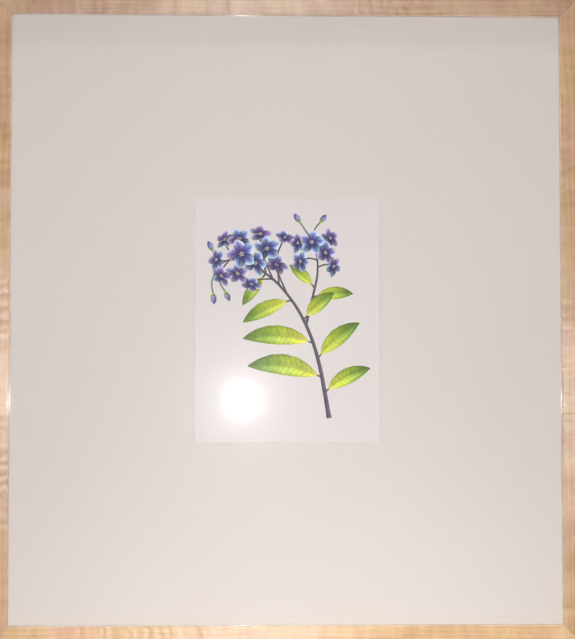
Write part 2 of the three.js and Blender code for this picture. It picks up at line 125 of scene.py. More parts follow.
class Nodes:
    """Short calls that build a material's node tree."""

    def __init__(self, name):
        self.mat = bpy.data.materials.new(name)
        self.mat.use_nodes = True
        self.tree = self.mat.node_tree
        self.tree.nodes.clear()
        self.out = self.tree.nodes.new("ShaderNodeOutputMaterial")

    def new(self, kind, **values):
        node = self.tree.nodes.new("ShaderNode" + kind)
        for key, value in values.items():
            setattr(node, key, value)
        return node

    def join(self, a, b):
        self.tree.links.new(a, b)

    def put(self, socket, value):
        if isinstance(value, bpy.types.NodeSocket):
            self.join(value, socket)
        else:
            socket.default_value = value

    def math(self, operation, a, b=0.0, c=None, clamp=False):
        node = self.new("Math", operation=operation, use_clamp=clamp)
        self.put(node.inputs[0], a)
        self.put(node.inputs[1], b)
        if c is not None:
            self.put(node.inputs[2], c)
        return node.outputs[0]

    def coords(self, scale=(1000, 1000, 1000), rotation=(0, 0, 0), location=(0, 0, 0)):
        """Object coordinates, scaled per axis after the turn."""
        tex = self.new("TexCoord")
        turn = self.new("Mapping", vector_type="POINT")
        self.join(tex.outputs["Object"], turn.inputs["Vector"])
        turn.inputs["Rotation"].default_value = rotation
        turn.inputs["Location"].default_value = location
        size = self.new("Mapping", vector_type="POINT")
        self.join(turn.outputs[0], size.inputs["Vector"])
        size.inputs["Scale"].default_value = scale
        return size.outputs[0]

    def stretch(self, vector, scale, location=(0, 0, 0)):
        node = self.new("Mapping", vector_type="POINT")
        self.join(vector, node.inputs["Vector"])
        node.inputs["Scale"].default_value = scale
        node.inputs["Location"].default_value = location
        return node.outputs[0]

    def noise(self, vector, scale=1.0, detail=2.0, rough=0.5, distortion=0.0):
        node = self.new("TexNoise", noise_dimensions="3D")
        self.join(vector, node.inputs["Vector"])
        node.inputs["Scale"].default_value = scale
        node.inputs["Detail"].default_value = detail
        node.inputs["Roughness"].default_value = rough
        node.inputs["Distortion"].default_value = distortion
        return node.outputs["Fac"]

    def cells(self, vector, scale=1.0, randomness=1.0, feature="F1"):
        node = self.new("TexVoronoi", voronoi_dimensions="3D", feature=feature)
        self.join(vector, node.inputs["Vector"])
        node.inputs["Scale"].default_value = scale
        node.inputs["Randomness"].default_value = randomness
        return node.outputs["Distance"]

    def axis(self, vector, which):
        node = self.new("SeparateXYZ")
        self.join(vector, node.inputs[0])
        return node.outputs[which]

    def ramp(self, fac, stops, mode="LINEAR"):
        node = self.new("ValToRGB")
        self.put(node.inputs[0], fac)
        node.color_ramp.interpolation = mode
        elements = node.color_ramp.elements
        while len(elements) < len(stops):
            elements.new(0.5)
        for element, (position, colour) in zip(elements, stops):
            element.position = position
            element.color = (*colour, 1.0) if hasattr(colour, "__len__") else (colour, colour, colour, 1.0)
        return node.outputs[0]

    def blend(self, fac, a, b, kind="MIX"):
        node = self.new("Mix", data_type="RGBA", blend_type=kind)
        self.put(node.inputs[0], fac)
        for socket, value in ((node.inputs[6], a), (node.inputs[7], b)):
            if isinstance(value, bpy.types.NodeSocket):
                self.join(value, socket)
            else:
                socket.default_value = (*value, 1.0)
        return node.outputs[2]

    def scaled(self, colour, factor):
        """colour times a number."""
        node = self.new("VectorMath", operation="SCALE")
        self.put(node.inputs[0], colour)
        self.put(node.inputs["Scale"], factor)
        return node.outputs[0]

    def bump(self, height, strength=0.2, distance=0.0002, under=None):
        node = self.new("Bump")
        node.inputs["Strength"].default_value = strength
        node.inputs["Distance"].default_value = distance
        self.join(height, node.inputs["Height"])
        if under is not None:
            self.join(under, node.inputs["Normal"])
        return node.outputs[0]

    def shader(self, colour, roughness, normal=None, **values):
        node = self.new("BsdfPrincipled")
        if isinstance(colour, bpy.types.NodeSocket):
            self.join(colour, node.inputs["Base Color"])
        else:
            node.inputs["Base Color"].default_value = (*colour, 1.0)
        self.put(node.inputs["Roughness"], roughness)
        if normal is not None:
            self.join(normal, node.inputs["Normal"])
        for key, value in values.items():
            node.inputs[key.replace("_", " ")].default_value = value
        self.join(node.outputs[0], self.out.inputs["Surface"])
        self.surface = node
        return self.mat


def tint(colour, by):
    return tuple(a * b for a, b in zip(colour, by))


def maple(name, along, seed, cut, coat):
    """Pale maple under a satin lacquer. along is the grain's axis, X or Z, cut scales this rail's colour with painted
    light and shade (painted shade on the top rail, painted light on the bottom rail, a painted reflection of the mat on
    the sight wall) and coat how thick its gloss lies."""
    n = Nodes(name)
    turn = (0, math.radians(90), 0) if along == "Z" else (0, 0, 0)
    v = n.coords((1000, 1000, 1000), turn, (0.731 * seed, 0.117 * seed, 0.293 * seed))
    grain, face, side = n.axis(v, 0), n.axis(v, 1), n.axis(v, 2)
    # growth lines wander slowly along the rail
    wander = n.noise(n.stretch(v, (0.0042, 0.02, 0.02)), 1.0, 2.0, 0.5)
    across = n.math("ADD", side, n.math("MULTIPLY", face, 0.8))
    path = n.math("MULTIPLY_ADD", wander, 30.0, across)
    line = n.math("SINE", n.math("MULTIPLY", path, 0.98))
    line2 = n.math("SINE", n.math("MULTIPLY", path, 2.37))
    rings = n.math("MULTIPLY_ADD", line2, 0.35, line)
    # long streaks, fine fibres and short flecks
    streak = n.noise(n.stretch(v, (0.011, 0.34, 0.34)), 1.0, 4.0, 0.55)
    fibre = n.noise(n.stretch(v, (0.085, 3.4, 3.4)), 1.0, 3.0, 0.6)
    fleck = n.noise(n.stretch(v, (0.42, 2.3, 2.3)), 1.0, 1.0, 0.4)
    # the curl: uneven bars across the grain, with narrower waves that come and go
    bars = n.noise(n.stretch(v, (0.05, 0.012, 0.015), (5.9, 0, 0)), 1.0, 2.5, 0.6)
    place_ = n.noise(n.stretch(v, (0.0105, 0.035, 0.035), (3.1, 0, 0)), 1.0, 1.0, 0.4)
    jitter = n.noise(n.stretch(v, (0.032, 0.06, 0.06), (7.7, 0, 0)), 1.0, 2.0, 0.5)
    curl_path = n.math("MULTIPLY_ADD", jitter, 13.0, n.math("MULTIPLY_ADD", side, 0.09, n.math("MULTIPLY", grain, 0.46)))
    curl = n.math("SINE", curl_path)
    where = n.math("MULTIPLY", n.math("SUBTRACT", place_, 0.38, clamp=True), 3.4, clamp=True)
    curl = n.math("MULTIPLY", curl, where)
    broad = n.noise(n.stretch(v, (0.0065, 0.03, 0.03), (1.3, 0, 0)), 1.0, 1.0, 0.5)
    tone = n.math("MULTIPLY_ADD", n.math("SUBTRACT", streak, 0.5), 0.5, 0.5)
    tone = n.math("MULTIPLY_ADD", n.math("SUBTRACT", broad, 0.5), 0.6, tone)
    tone = n.math("MULTIPLY_ADD", n.math("SUBTRACT", bars, 0.5), 1.3, tone)
    tone = n.math("MULTIPLY_ADD", rings, 0.075, tone)
    tone = n.math("MULTIPLY_ADD", curl, 0.08, tone)
    tone = n.math("MULTIPLY_ADD", n.math("SUBTRACT", fibre, 0.5), 0.42, tone)
    colour = n.ramp(tone, [(0.12, WOOD_DARK), (0.5, WOOD_MID), (0.88, WOOD_LIGHT)])
    # the wood leans to rose in some places and to straw in others
    lean = n.noise(n.stretch(v, (0.016, 0.05, 0.05), (9.2, 0, 0)), 1.0, 2.0, 0.55)
    lean = n.math("MULTIPLY_ADD", n.math("SUBTRACT", lean, 0.5), 2.6, 0.5, clamp=True)
    # cut scales the colour with painted light and shade for this rail, and on the sight wall with a painted reflection
    # of the mat
    colour = n.blend(1.0, colour, n.blend(lean, tint(WOOD_ROSE, cut), tint(WOOD_STRAW, cut)), "MULTIPLY")
    dash = n.math("MULTIPLY", n.math("SUBTRACT", fleck, 0.6, clamp=True), 6.0, clamp=True)
    colour = n.blend(n.math("MULTIPLY", dash, 0.42), colour, WOOD_FLECK)
    rough = n.math("MULTIPLY_ADD", n.math("SUBTRACT", fibre, 0.5), 0.08, 0.43)
    rough = n.math("MULTIPLY_ADD", curl, 0.02, rough)
    swell = n.math("MULTIPLY_ADD", n.math("SUBTRACT", bars, 0.5), 5.0, n.math("MULTIPLY", curl, 0.5))
    normal = n.bump(fibre, 0.3, 0.0001, n.bump(swell, 1.0, 0.00012))
    mat = n.shader(colour, rough, normal, Coat_Weight=coat, Coat_Roughness=0.06, Coat_IOR=1.5, Specular_IOR_Level=0.8, Anisotropic=0.95)
    # the wood's sheen spreads across the fibres, so its tangent lies across the grain
    way = n.new("CombineXYZ")
    way.inputs[2 if along == "Z" else 0].default_value = 1.0
    turn_ = n.new("VectorMath", operation="CROSS_PRODUCT")
    n.join(n.new("NewGeometry").outputs["Normal"], turn_.inputs[0])
    n.join(way.outputs[0], turn_.inputs[1])
    n.join(turn_.outputs[0], n.surface.inputs["Tangent"])
    return mat


def board(name, colour, tooth=1.0, warm=None, rough=0.88):
    """Cotton board or paper with a fine tooth and stray fibres."""
    n = Nodes(name)
    v = n.coords()
    soft = n.noise(n.stretch(v, (0.012, 0.012, 0.012)), 1.0, 2.0, 0.5)
    grainy = n.noise(v, 1.7, 3.0, 0.65)
    fibres = n.noise(n.stretch(v, (0.9, 0.9, 0.9)), 1.0, 4.0, 0.7, 1.2)
    warm = warm or tuple(c * k for c, k in zip(colour, (1.0, 0.985, 0.965)))
    base = n.blend(n.math("MULTIPLY_ADD", n.math("SUBTRACT", soft, 0.5), 0.9, 0.5, clamp=True), colour, warm)
    k = n.math("MULTIPLY_ADD", n.math("SUBTRACT", grainy, 0.5), 0.035, 1.0)
    k = n.math("MULTIPLY_ADD", n.math("SUBTRACT", fibres, 0.5), 0.02, k)
    height = n.math("MULTIPLY_ADD", fibres, 0.6, grainy)
    return n.shader(n.scaled(base, k), rough, n.bump(height, 0.22 * tooth, 0.00006), Specular_IOR_Level=0.25)


def printed(name):
    """Smooth printing paper: the ink comes from the sheet's own colours."""
    n = Nodes(name)
    v = n.coords()
    ink = n.new("Attribute", attribute_type="GEOMETRY", attribute_name="ink").outputs["Color"]
    grainy = n.noise(v, 2.6, 3.0, 0.6)
    fibres = n.noise(n.stretch(v, (1.1, 1.1, 1.1)), 1.0, 4.0, 0.7, 1.4)
    k = n.math("MULTIPLY_ADD", n.math("SUBTRACT", grainy, 0.5), 0.03, 1.0)
    k = n.math("MULTIPLY_ADD", n.math("SUBTRACT", fibres, 0.5), 0.018, k)
    return n.shader(n.scaled(ink, k), 0.62, n.bump(n.math("ADD", grainy, fibres), 0.12, 0.00004), Specular_IOR_Level=0.35)


def glass(name):
    """Picture glass: clear, with plain surface reflections and the faintest haze."""
    n = Nodes(name)
    clear = n.new("BsdfTransparent")
    clear.inputs["Color"].default_value = (0.985, 0.992, 0.988, 1)
    sharp = n.new("BsdfGlossy")
    sharp.inputs["Color"].default_value = (1, 1, 1, 1)
    wave = n.noise(n.coords((1.0, 1.0, 1.0)), 5.0, 1.0, 0.4)
    n.put(sharp.inputs["Roughness"], n.math("MULTIPLY_ADD", wave, 0.01, 0.012))
    n.join(n.bump(wave, 0.2, 0.0004), sharp.inputs["Normal"])
    # the share that each face reflects: 4% straight on, more at a slant
    slant = n.new("LayerWeight")
    slant.inputs["Blend"].default_value = 0.5
    share = n.math("MULTIPLY_ADD", n.math("POWER", slant.outputs["Facing"], 5.0), 0.96, 0.04)
    film = n.new("MixShader")
    n.join(share, film.inputs[0])
    n.join(clear.outputs[0], film.inputs[1])
    n.join(sharp.outputs[0], film.inputs[2])
    final = film
    for part, rough in GLASS_HAZE:
        haze = n.new("BsdfGlossy")
        haze.inputs["Color"].default_value = (1, 1, 1, 1)
        haze.inputs["Roughness"].default_value = rough
        both = n.new("MixShader")
        both.inputs[0].default_value = part
        n.join(final.outputs[0], both.inputs[1])
        n.join(haze.outputs[0], both.inputs[2])
        final = both
    n.join(final.outputs[0], n.out.inputs["Surface"])
    return n.mat


def kraft(name):
    """Brown kraft paper with its machine lines, fibres and specks."""
    n = Nodes(name)
    v = n.coords()
    mottled = n.noise(n.stretch(v, (0.03, 0.03, 0.022)), 1.0, 3.0, 0.55)
    cloud = n.noise(v, 0.35, 4.0, 0.65)
    lines = n.noise(n.stretch(v, (0.02, 1.0, 0.9)), 1.0, 2.0, 0.5)
    fibre_a = n.noise(n.stretch(v, (0.55, 1.0, 3.2)), 1.0, 3.0, 0.65, 0.8)
    fibre_b = n.noise(n.stretch(v, (3.0, 1.0, 0.6), (5, 3, 1)), 1.0, 3.0, 0.65, 0.8)
    specks = n.cells(v, 0.62)
    tone = n.math("MULTIPLY_ADD", n.math("SUBTRACT", mottled, 0.5), 0.26, 0.5)
    tone = n.math("MULTIPLY_ADD", n.math("SUBTRACT", cloud, 0.5), 0.34, tone)
    tone = n.math("MULTIPLY_ADD", n.math("SUBTRACT", lines, 0.5), 0.22, tone)
    tone = n.math("MULTIPLY_ADD", n.math("SUBTRACT", fibre_a, 0.5), 0.5, tone)
    tone = n.math("MULTIPLY_ADD", n.math("SUBTRACT", fibre_b, 0.5), 0.4, tone)
    colour = n.ramp(tone, [(0.1, (0.27, 0.155, 0.075)), (0.5, (0.4, 0.25, 0.128)), (0.9, (0.53, 0.36, 0.205))])
    dot = n.math("MULTIPLY", n.math("SUBTRACT", 0.1, specks, clamp=True), 10.0, clamp=True)
    colour = n.blend(n.math("MULTIPLY", dot, 0.4), colour, (0.16, 0.085, 0.04))
    height = n.math("ADD", n.math("MULTIPLY", cloud, 0.8), n.math("ADD", fibre_a, fibre_b))
    return n.shader(colour, 0.72, n.bump(height, 0.25, 0.00012), Specular_IOR_Level=0.3)


def plated(name, colour=(0.68, 0.68, 0.69), tint_a=(0.72, 0.70, 0.62), tint_b=(0.62, 0.67, 0.74), rough=0.3, brush=(1.0, 1.0, 1.0)):
    """Zinc-plated or blued sheet steel: a faint passivated tint, fine scratches and worn spots."""
    n = Nodes(name)
    v = n.coords()
    cloud = n.noise(v, 0.22, 3.0, 0.55)
    tint = n.noise(n.stretch(v, (0.13, 0.13, 0.13), (4, 1, 2)), 1.0, 2.0, 0.5)
    scratch = n.noise(n.stretch(v, tuple(6.0 * b for b in brush)), 1.0, 3.0, 0.7)
    base = n.blend(n.math("MULTIPLY_ADD", n.math("SUBTRACT", tint, 0.5), 2.2, 0.5, clamp=True), tint_a, tint_b)
    base = n.blend(0.55, base, colour)
    k = n.math("MULTIPLY_ADD", n.math("SUBTRACT", cloud, 0.5), 0.28, 1.0)
    k = n.math("MULTIPLY_ADD", n.math("SUBTRACT", scratch, 0.5), 0.12, k)
    r = n.math("MULTIPLY_ADD", n.math("SUBTRACT", cloud, 0.5), 0.3, rough)
    r = n.math("MULTIPLY_ADD", n.math("SUBTRACT", scratch, 0.5), 0.14, r)
    return n.shader(n.scaled(base, k), r, n.bump(scratch, 0.1, 0.00005), Metallic=1.0)


def felt(name):
    n = Nodes(name)
    v = n.coords()
    fuzz = n.noise(v, 2.4, 5.0, 0.75, 1.5)
    lump = n.noise(v, 0.5, 2.0, 0.5)
    tone = n.math("MULTIPLY_ADD", n.math("SUBTRACT", lump, 0.5), 0.5, fuzz)
    colour = n.ramp(tone, [(0.25, (0.14, 0.125, 0.105)), (0.5, (0.25, 0.225, 0.19)), (0.8, (0.38, 0.35, 0.3))])
    return n.shader(colour, 0.95, n.bump(fuzz, 0.7, 0.0004), Specular_IOR_Level=0.15, Sheen_Weight=0.35, Sheen_Roughness=0.5)


def woven(name, colour):
    """Gummed linen tape: a plain weave."""
    n = Nodes(name)
    v = n.coords()
    warp = n.math("SINE", n.math("MULTIPLY", n.axis(v, 0), 9.0))
    weft = n.math("SINE", n.math("MULTIPLY", n.axis(v, 2), 9.0))
    weave = n.math("MULTIPLY", warp, weft)
    slub = n.noise(v, 0.8, 3.0, 0.6)
    k = n.math("MULTIPLY_ADD", weave, 0.06, n.math("MULTIPLY_ADD", slub, 0.12, 0.94))
    return n.shader(n.scaled(n.blend(slub, colour, tuple(c * 0.93 for c in colour)), k), 0.85, n.bump(weave, 0.4, 0.0001))


def foam(name):
    """Foam board: paper faces, with bubbles showing on the cut edges."""
    n = Nodes(name)
    v = n.coords()
    bubbles = n.cells(v, 1.6)
    tooth = n.noise(v, 1.8, 3.0, 0.6)
    normal = n.new("NewGeometry").outputs["True Normal"]
    facing = n.math("ABSOLUTE", n.axis(normal, 1))
    face = n.math("MULTIPLY", facing, n.math("MULTIPLY_ADD", tooth, 0.05, 0.95))
    edge = n.math("MULTIPLY", n.math("SUBTRACT", 1.0, facing), n.math("MULTIPLY_ADD", bubbles, 0.3, 0.72))
    colour = n.scaled((0.82, 0.82, 0.79), n.math("ADD", face, edge))
    return n.shader(colour, 0.8, n.bump(n.math("ADD", tooth, bubbles), 0.15, 0.0001), Specular_IOR_Level=0.3)


WOOD_DARK, WOOD_MID, WOOD_LIGHT = (0.485, 0.28, 0.148), (0.615, 0.39, 0.232), (0.71, 0.475, 0.3)
WOOD_FLECK = (0.36, 0.19, 0.09)
WOOD_ROSE, WOOD_STRAW = (1.0, 0.955, 1.1), (1.0, 1.03, 0.92)
# painted reflection: the sight wall's maple made paler and bluer to stand for the pale mat mirrored in its lacquer
WALL_PAINTED_REFLECTION = (1.36, 1.62, 1.95)
# painted light and shade per rail: the top rail painted darker as shade, the bottom rail painted lighter as light and
# sheen from below
RAIL_PAINTED_LIGHT = {"top": (0.86, 0.88, 0.95), "bottom": (1.16, 1.17, 1.09), "left": (1.0, 1.0, 1.0), "right": (1.0, 1.0, 1.0)}
GLASS_HAZE = ((0.0001, 0.09), (0.00048, 0.17))  # share and roughness
MAT_COLOUR = (0.805, 0.728, 0.708)
MAT_CORE = (0.85, 0.79, 0.755)
PAPER_COLOUR = (0.828, 0.744, 0.745)

# ---- mesh helpers -----------------------------------------------------------------------------------


def piece(name, points, faces, materials, body="frame", replaces=(), which=None, sharp=30):
    """A mesh object from points in millimetres, riding on its body."""
    mesh = bpy.data.meshes.new(name)
    mesh.from_pydata([tuple(p) for p in place(points)], [], [tuple(int(i) for i in f) for f in faces])
    mesh.validate()
    for m in materials if isinstance(materials, (list, tuple)) else [materials]:
        mesh.materials.append(m)
    if which is not None:
        mesh.polygons.foreach_set("material_index", np.asarray(which, np.int32))
    bm = bmesh.new()
    bm.from_mesh(mesh)
    bmesh.ops.recalc_face_normals(bm, faces=bm.faces)
    bm.to_mesh(mesh)
    bm.free()
    mesh.shade_smooth()
    if sharp is not None:
        mesh.set_sharp_from_angle(angle=math.radians(sharp))
    made = bpy.data.objects.new(name, mesh)
    bpy.context.scene.collection.objects.link(made)
    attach(made, body)
    if replaces:
        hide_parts(*replaces)
    return made


def apply_modifiers(made):
    """Bakes the object's modifiers into its mesh."""
    dg = bpy.context.evaluated_depsgraph_get()
    mesh = bpy.data.meshes.new_from_object(made.evaluated_get(dg))
    made.modifiers.clear()
    made.data = mesh


def arc_points(cx, cy, r, a0, a1, n):
    a = np.radians(np.linspace(a0, a1, n + 1))
    return [(cx + r * math.cos(x), cy + r * math.sin(x)) for x in a]


def tube_faces(rings, around, closed=False):
    """Quads between successive rings of points."""
    faces = []
    for i in range(rings - (0 if closed else 1)):
        j = (i + 1) % rings
        for k in range(around):
            m = (k + 1) % around
            faces.append((i * around + k, i * around + m, j * around + m, j * around + k))
    return faces


# ---- the four mitred rails ----------------------------------------------------------------------------


def rail_section():
    """The rail's section as (out from the sight edge, y), with close loops beside each eased edge."""
    s = [(0, -DEPTH + LIP), (0, -DEPTH + LIP - 0.4), (0, -DEPTH + ARRIS_IN + 0.5)]
    s += arc_points(ARRIS_IN, -DEPTH + ARRIS_IN, ARRIS_IN, 180, 270, 9)
    s += [(ARRIS_IN + 0.5, -DEPTH), (9.0, -DEPTH), (16.5, -DEPTH), (FACE - ARRIS_OUT - 0.5, -DEPTH)]
    s += arc_points(FACE - ARRIS_OUT, -DEPTH + ARRIS_OUT, ARRIS_OUT, 270, 360, 7)
    s += [(FACE, -DEPTH + ARRIS_OUT + 0.5), (FACE, -16.0), (FACE, -ARRIS_BACK - 0.4)]
    s += arc_points(FACE - ARRIS_BACK, -ARRIS_BACK, ARRIS_BACK, 0, 90, 4)
    s += [(FACE - ARRIS_BACK - 0.5, 0), (RABBET + 0.9, 0), (RABBET + 0.35, 0), (RABBET, -0.35)]
    s += [(RABBET, -0.9), (RABBET, -DEPTH + LIP + 0.4), (RABBET, -DEPTH + LIP), (RABBET - 0.4, -DEPTH + LIP)]
    return np.array(s)


def inset_section(s, by):
    """The section moved inwards all round."""
    before, after = np.roll(s, 1, 0) - s, np.roll(s, -1, 0) - s
    unit = lambda v: v / np.maximum(np.hypot(*v.T), 1e-9)[:, None]
    b, a = unit(before), unit(after)
    normal = unit(np.stack([-(a - b)[:, 1], (a - b)[:, 0]], -1))
    area = 0.5 * np.sum(s[:, 0] * np.roll(s[:, 1], -1) - np.roll(s[:, 0], -1) * s[:, 1])
    return s + normal * by * (1 if area > 0 else -1)


def rail(side):
    s = rail_section()
    eased = inset_section(s, 0.12)
    half = (SIGHT_W if side in ("top", "bottom") else SIGHT_H) / 2
    off = (SIGHT_H if side in ("top", "bottom") else SIGHT_W) / 2
    gap = 0.085
    rows = []
    ends = [(eased, 0.0), (s, 0.14)]
    steps = np.linspace(-1, 1, 21)[1:-1]
    for section, back in ends:
        rows.append((section, -(half + section[:, 0]) + gap + back))
    for t in steps:
        rows.append((s, t * (half + s[:, 0] - 8.0)))
    for section, back in reversed(ends):
        rows.append((section, (half + section[:, 0]) - gap - back))
    points = []
    for section, along in rows:
        u, y = section[:, 0], section[:, 1]
        if side == "top":
            p = np.stack([along, y, off + u], -1)
        elif side == "bottom":
            p = np.stack([along, y, -off - u], -1)
        elif side == "left":
            p = np.stack([-off - u, y, along], -1)
        else:
            p = np.stack([off + u, y, along], -1)
        points.append(p)
    n = len(s)
    faces = tube_faces(len(rows), n)
    faces.append(tuple(range(n)))
    faces.append(tuple((len(rows) - 1) * n + k for k in reversed(range(n))))
    # the lacquer pools on the narrow wall beside the glass and its coat mirrors the mat; its colour is also painted
    # paler and bluer, a painted reflection of the pale mat
    inside = [k % n < 6 for k in range(len(faces) - 2)] + [False, False]
    kind = "X" if side in ("top", "bottom") else "Z"
    number = {"top": 3, "bottom": 11, "left": 7, "right": 19}[side]
    return piece(
        "rail_" + side,
        np.concatenate(points),
        faces,
        [
            maple("maple_" + side, kind, number, RAIL_PAINTED_LIGHT[side], 0.2),
            maple("maple_wall_painted_reflection_" + side, kind, number, tint(RAIL_PAINTED_LIGHT[side], WALL_PAINTED_REFLECTION), 1.0),
        ],
        replaces=["frame_rail_" + side],
        which=inside,
    )


for side in ("top", "bottom", "left", "right"):
    rail(side)

# ---- the window mat: paper face, pale core on the bevel and the cut edges ------------------------------


def window_mat():
    half_w, half_h = SHEET_W / 2, SHEET_H / 2
    ww, wh = WINDOW_W / 2, WINDOW_H / 2
    front, back = MAT_Y, MAT_Y + MAT_T

    def loop(w, h, y, dx=0.0, dz=0.0):
        return [(-w + dx, y, -h + dz), (w + dx, y, -h + dz), (w + dx, y, h + dz), (-w + dx, y, h + dz)]

    d = (WINDOW_DX, WINDOW_DZ)
    loops = [
        loop(half_w, half_h, back),
        loop(half_w, half_h, front + 0.1),
        loop(half_w - 0.1, half_h - 0.1, front),
        loop(ww + 0.5, wh + 0.5, front, *d),
        loop(ww + 0.1, wh + 0.1, front, *d),
        loop(ww + 0.02, wh + 0.02, front + 0.05, *d),
        loop(ww - 0.1, wh - 0.1, front + 0.17, *d),
        loop(ww - MAT_T + 0.05, wh - MAT_T + 0.05, back - 0.12, *d),
        loop(ww - MAT_T, wh - MAT_T, back, *d),
    ]
    points = np.concatenate([np.array(l, float) for l in loops])
    faces = tube_faces(len(loops), 4, closed=True)
    names = [1, 0, 0, 0, 0, 1, 1, 1, 1]
    which = [names[i // 4] for i in range(len(faces))]
    face = board("mat_face", MAT_COLOUR)
    core = board("mat_core", MAT_CORE, tooth=1.6)
    return piece("mat_board", points, faces, [face, core], replaces=["window_mat"], which=which, sharp=20)


window_mat()

# ---- the dust cover: kraft paper, glued round the back and a little slack over the hollow --------------


def dust_cover():
    nx, nz = 126, 138
    xs = np.linspace(-COVER_W / 2, COVER_W / 2, nx)
    zs = np.linspace(-COVER_H / 2, COVER_H / 2, nz)
    x, z = np.meshgrid(xs, zs, indexing="ij")
    # the knife-trimmed border wanders a little
    left, right = noise(zs / 23, zs * 0, 5), noise(zs / 27, zs * 0 + 4, 6)
    low, high = noise(xs / 25, xs * 0, 7), noise(xs / 21, xs * 0 + 2, 8)
    x[0, :] += 0.6 * left
    x[-1, :] -= 0.6 * right
    z[:, 0] += 0.6 * low
    z[:, -1] -= 0.6 * high
    for i, j, a, b in ((0, 0, 1, 1), (-1, 0, -1, 1), (0, -1, 1, -1), (-1, -1, -1, -1)):
        x[i, j] += 1.0 * a
        z[i, j] += 1.0 * b
    open_w, open_h = SIGHT_W / 2 + RABBET, SIGHT_H / 2 + RABBET
    inside = np.minimum(open_w - np.abs(x), open_h - np.abs(z))
    field = smooth(0, 46, inside)
    slack = 0.22 + 0.55 * noise(x / 150 + 3, z / 190, 21) + 0.3 * (noise(x / 62, z / 240, 22) - 0.4)
    folds = np.zeros_like(x)
    for sx, sz, seed in ((-1, -1, 1), (1, -1, 2), (-1, 1, 3), (1, 1, 4)):
        dx, dz = open_w - sx * x, open_h - sz * z
        r, a = np.hypot(dx, dz), np.arctan2(dz, dx)
        folds += 0.34 * np.exp(-((r - 55) / 95) ** 2) * np.cos(a * 17 + seed * 1.7 + 0.01 * r) * smooth(4, 40, inside)
    pull = 0.16 * np.sin(z / 6.5 + 5 * noise(z / 60, z * 0, 31)) * np.exp(-((inside - 16) / 14) ** 2)
    pull = pull * np.where(open_w - np.abs(x) < open_h - np.abs(z), 1.0, 0.0)
    pull2 = 0.16 * np.sin(x / 6.5 + 5 * noise(x / 60, x * 0, 33)) * np.exp(-((inside - 16) / 14) ** 2)
    pull = pull + pull2 * np.where(open_w - np.abs(x) >= open_h - np.abs(z), 1.0, 0.0)
    edge = 0.10 * np.exp(-(((inside - 1.5) / 2.5) ** 2))
    sag = np.maximum(field * slack + folds * 0.8 + pull * smooth(0, 8, inside) + 0.12 * smooth(0, 10, inside), 0) + edge
    sag = np.where(inside > 0, sag, 0.0)
    mid = COVER_Y + COVER_T / 2 - sag
    a = np.stack([x, mid - COVER_T / 2, z], -1).reshape(-1, 3)
    b = np.stack([x, mid + COVER_T / 2, z], -1).reshape(-1, 3)
    n = nx * nz
    idx = np.arange(n).reshape(nx, nz)
    quads = np.stack([idx[:-1, :-1], idx[1:, :-1], idx[1:, 1:], idx[:-1, 1:]], -1).reshape(-1, 4)
    faces = quads.tolist() + (quads[:, ::-1] + n).tolist()
    rim = np.concatenate([idx[:, 0], idx[-1, 1:], idx[::-1, -1][1:], idx[0, ::-1][1:-1]])
    for i in range(len(rim)):
        p, q = int(rim[i]), int(rim[(i + 1) % len(rim)])
        faces.append((p, p + n, q + n, q))
    return piece("dust_cover_sheet", np.concatenate([a, b]), faces, kraft("kraft_paper"), replaces=["dust_cover"], sharp=60)


dust_cover()

# ---- the hangers: folded straps, hinged D-rings and their screws ----------------------------------------

zinc = plated("zinc_plate")
zinc_wire = plated("zinc_wire", rough=0.24)


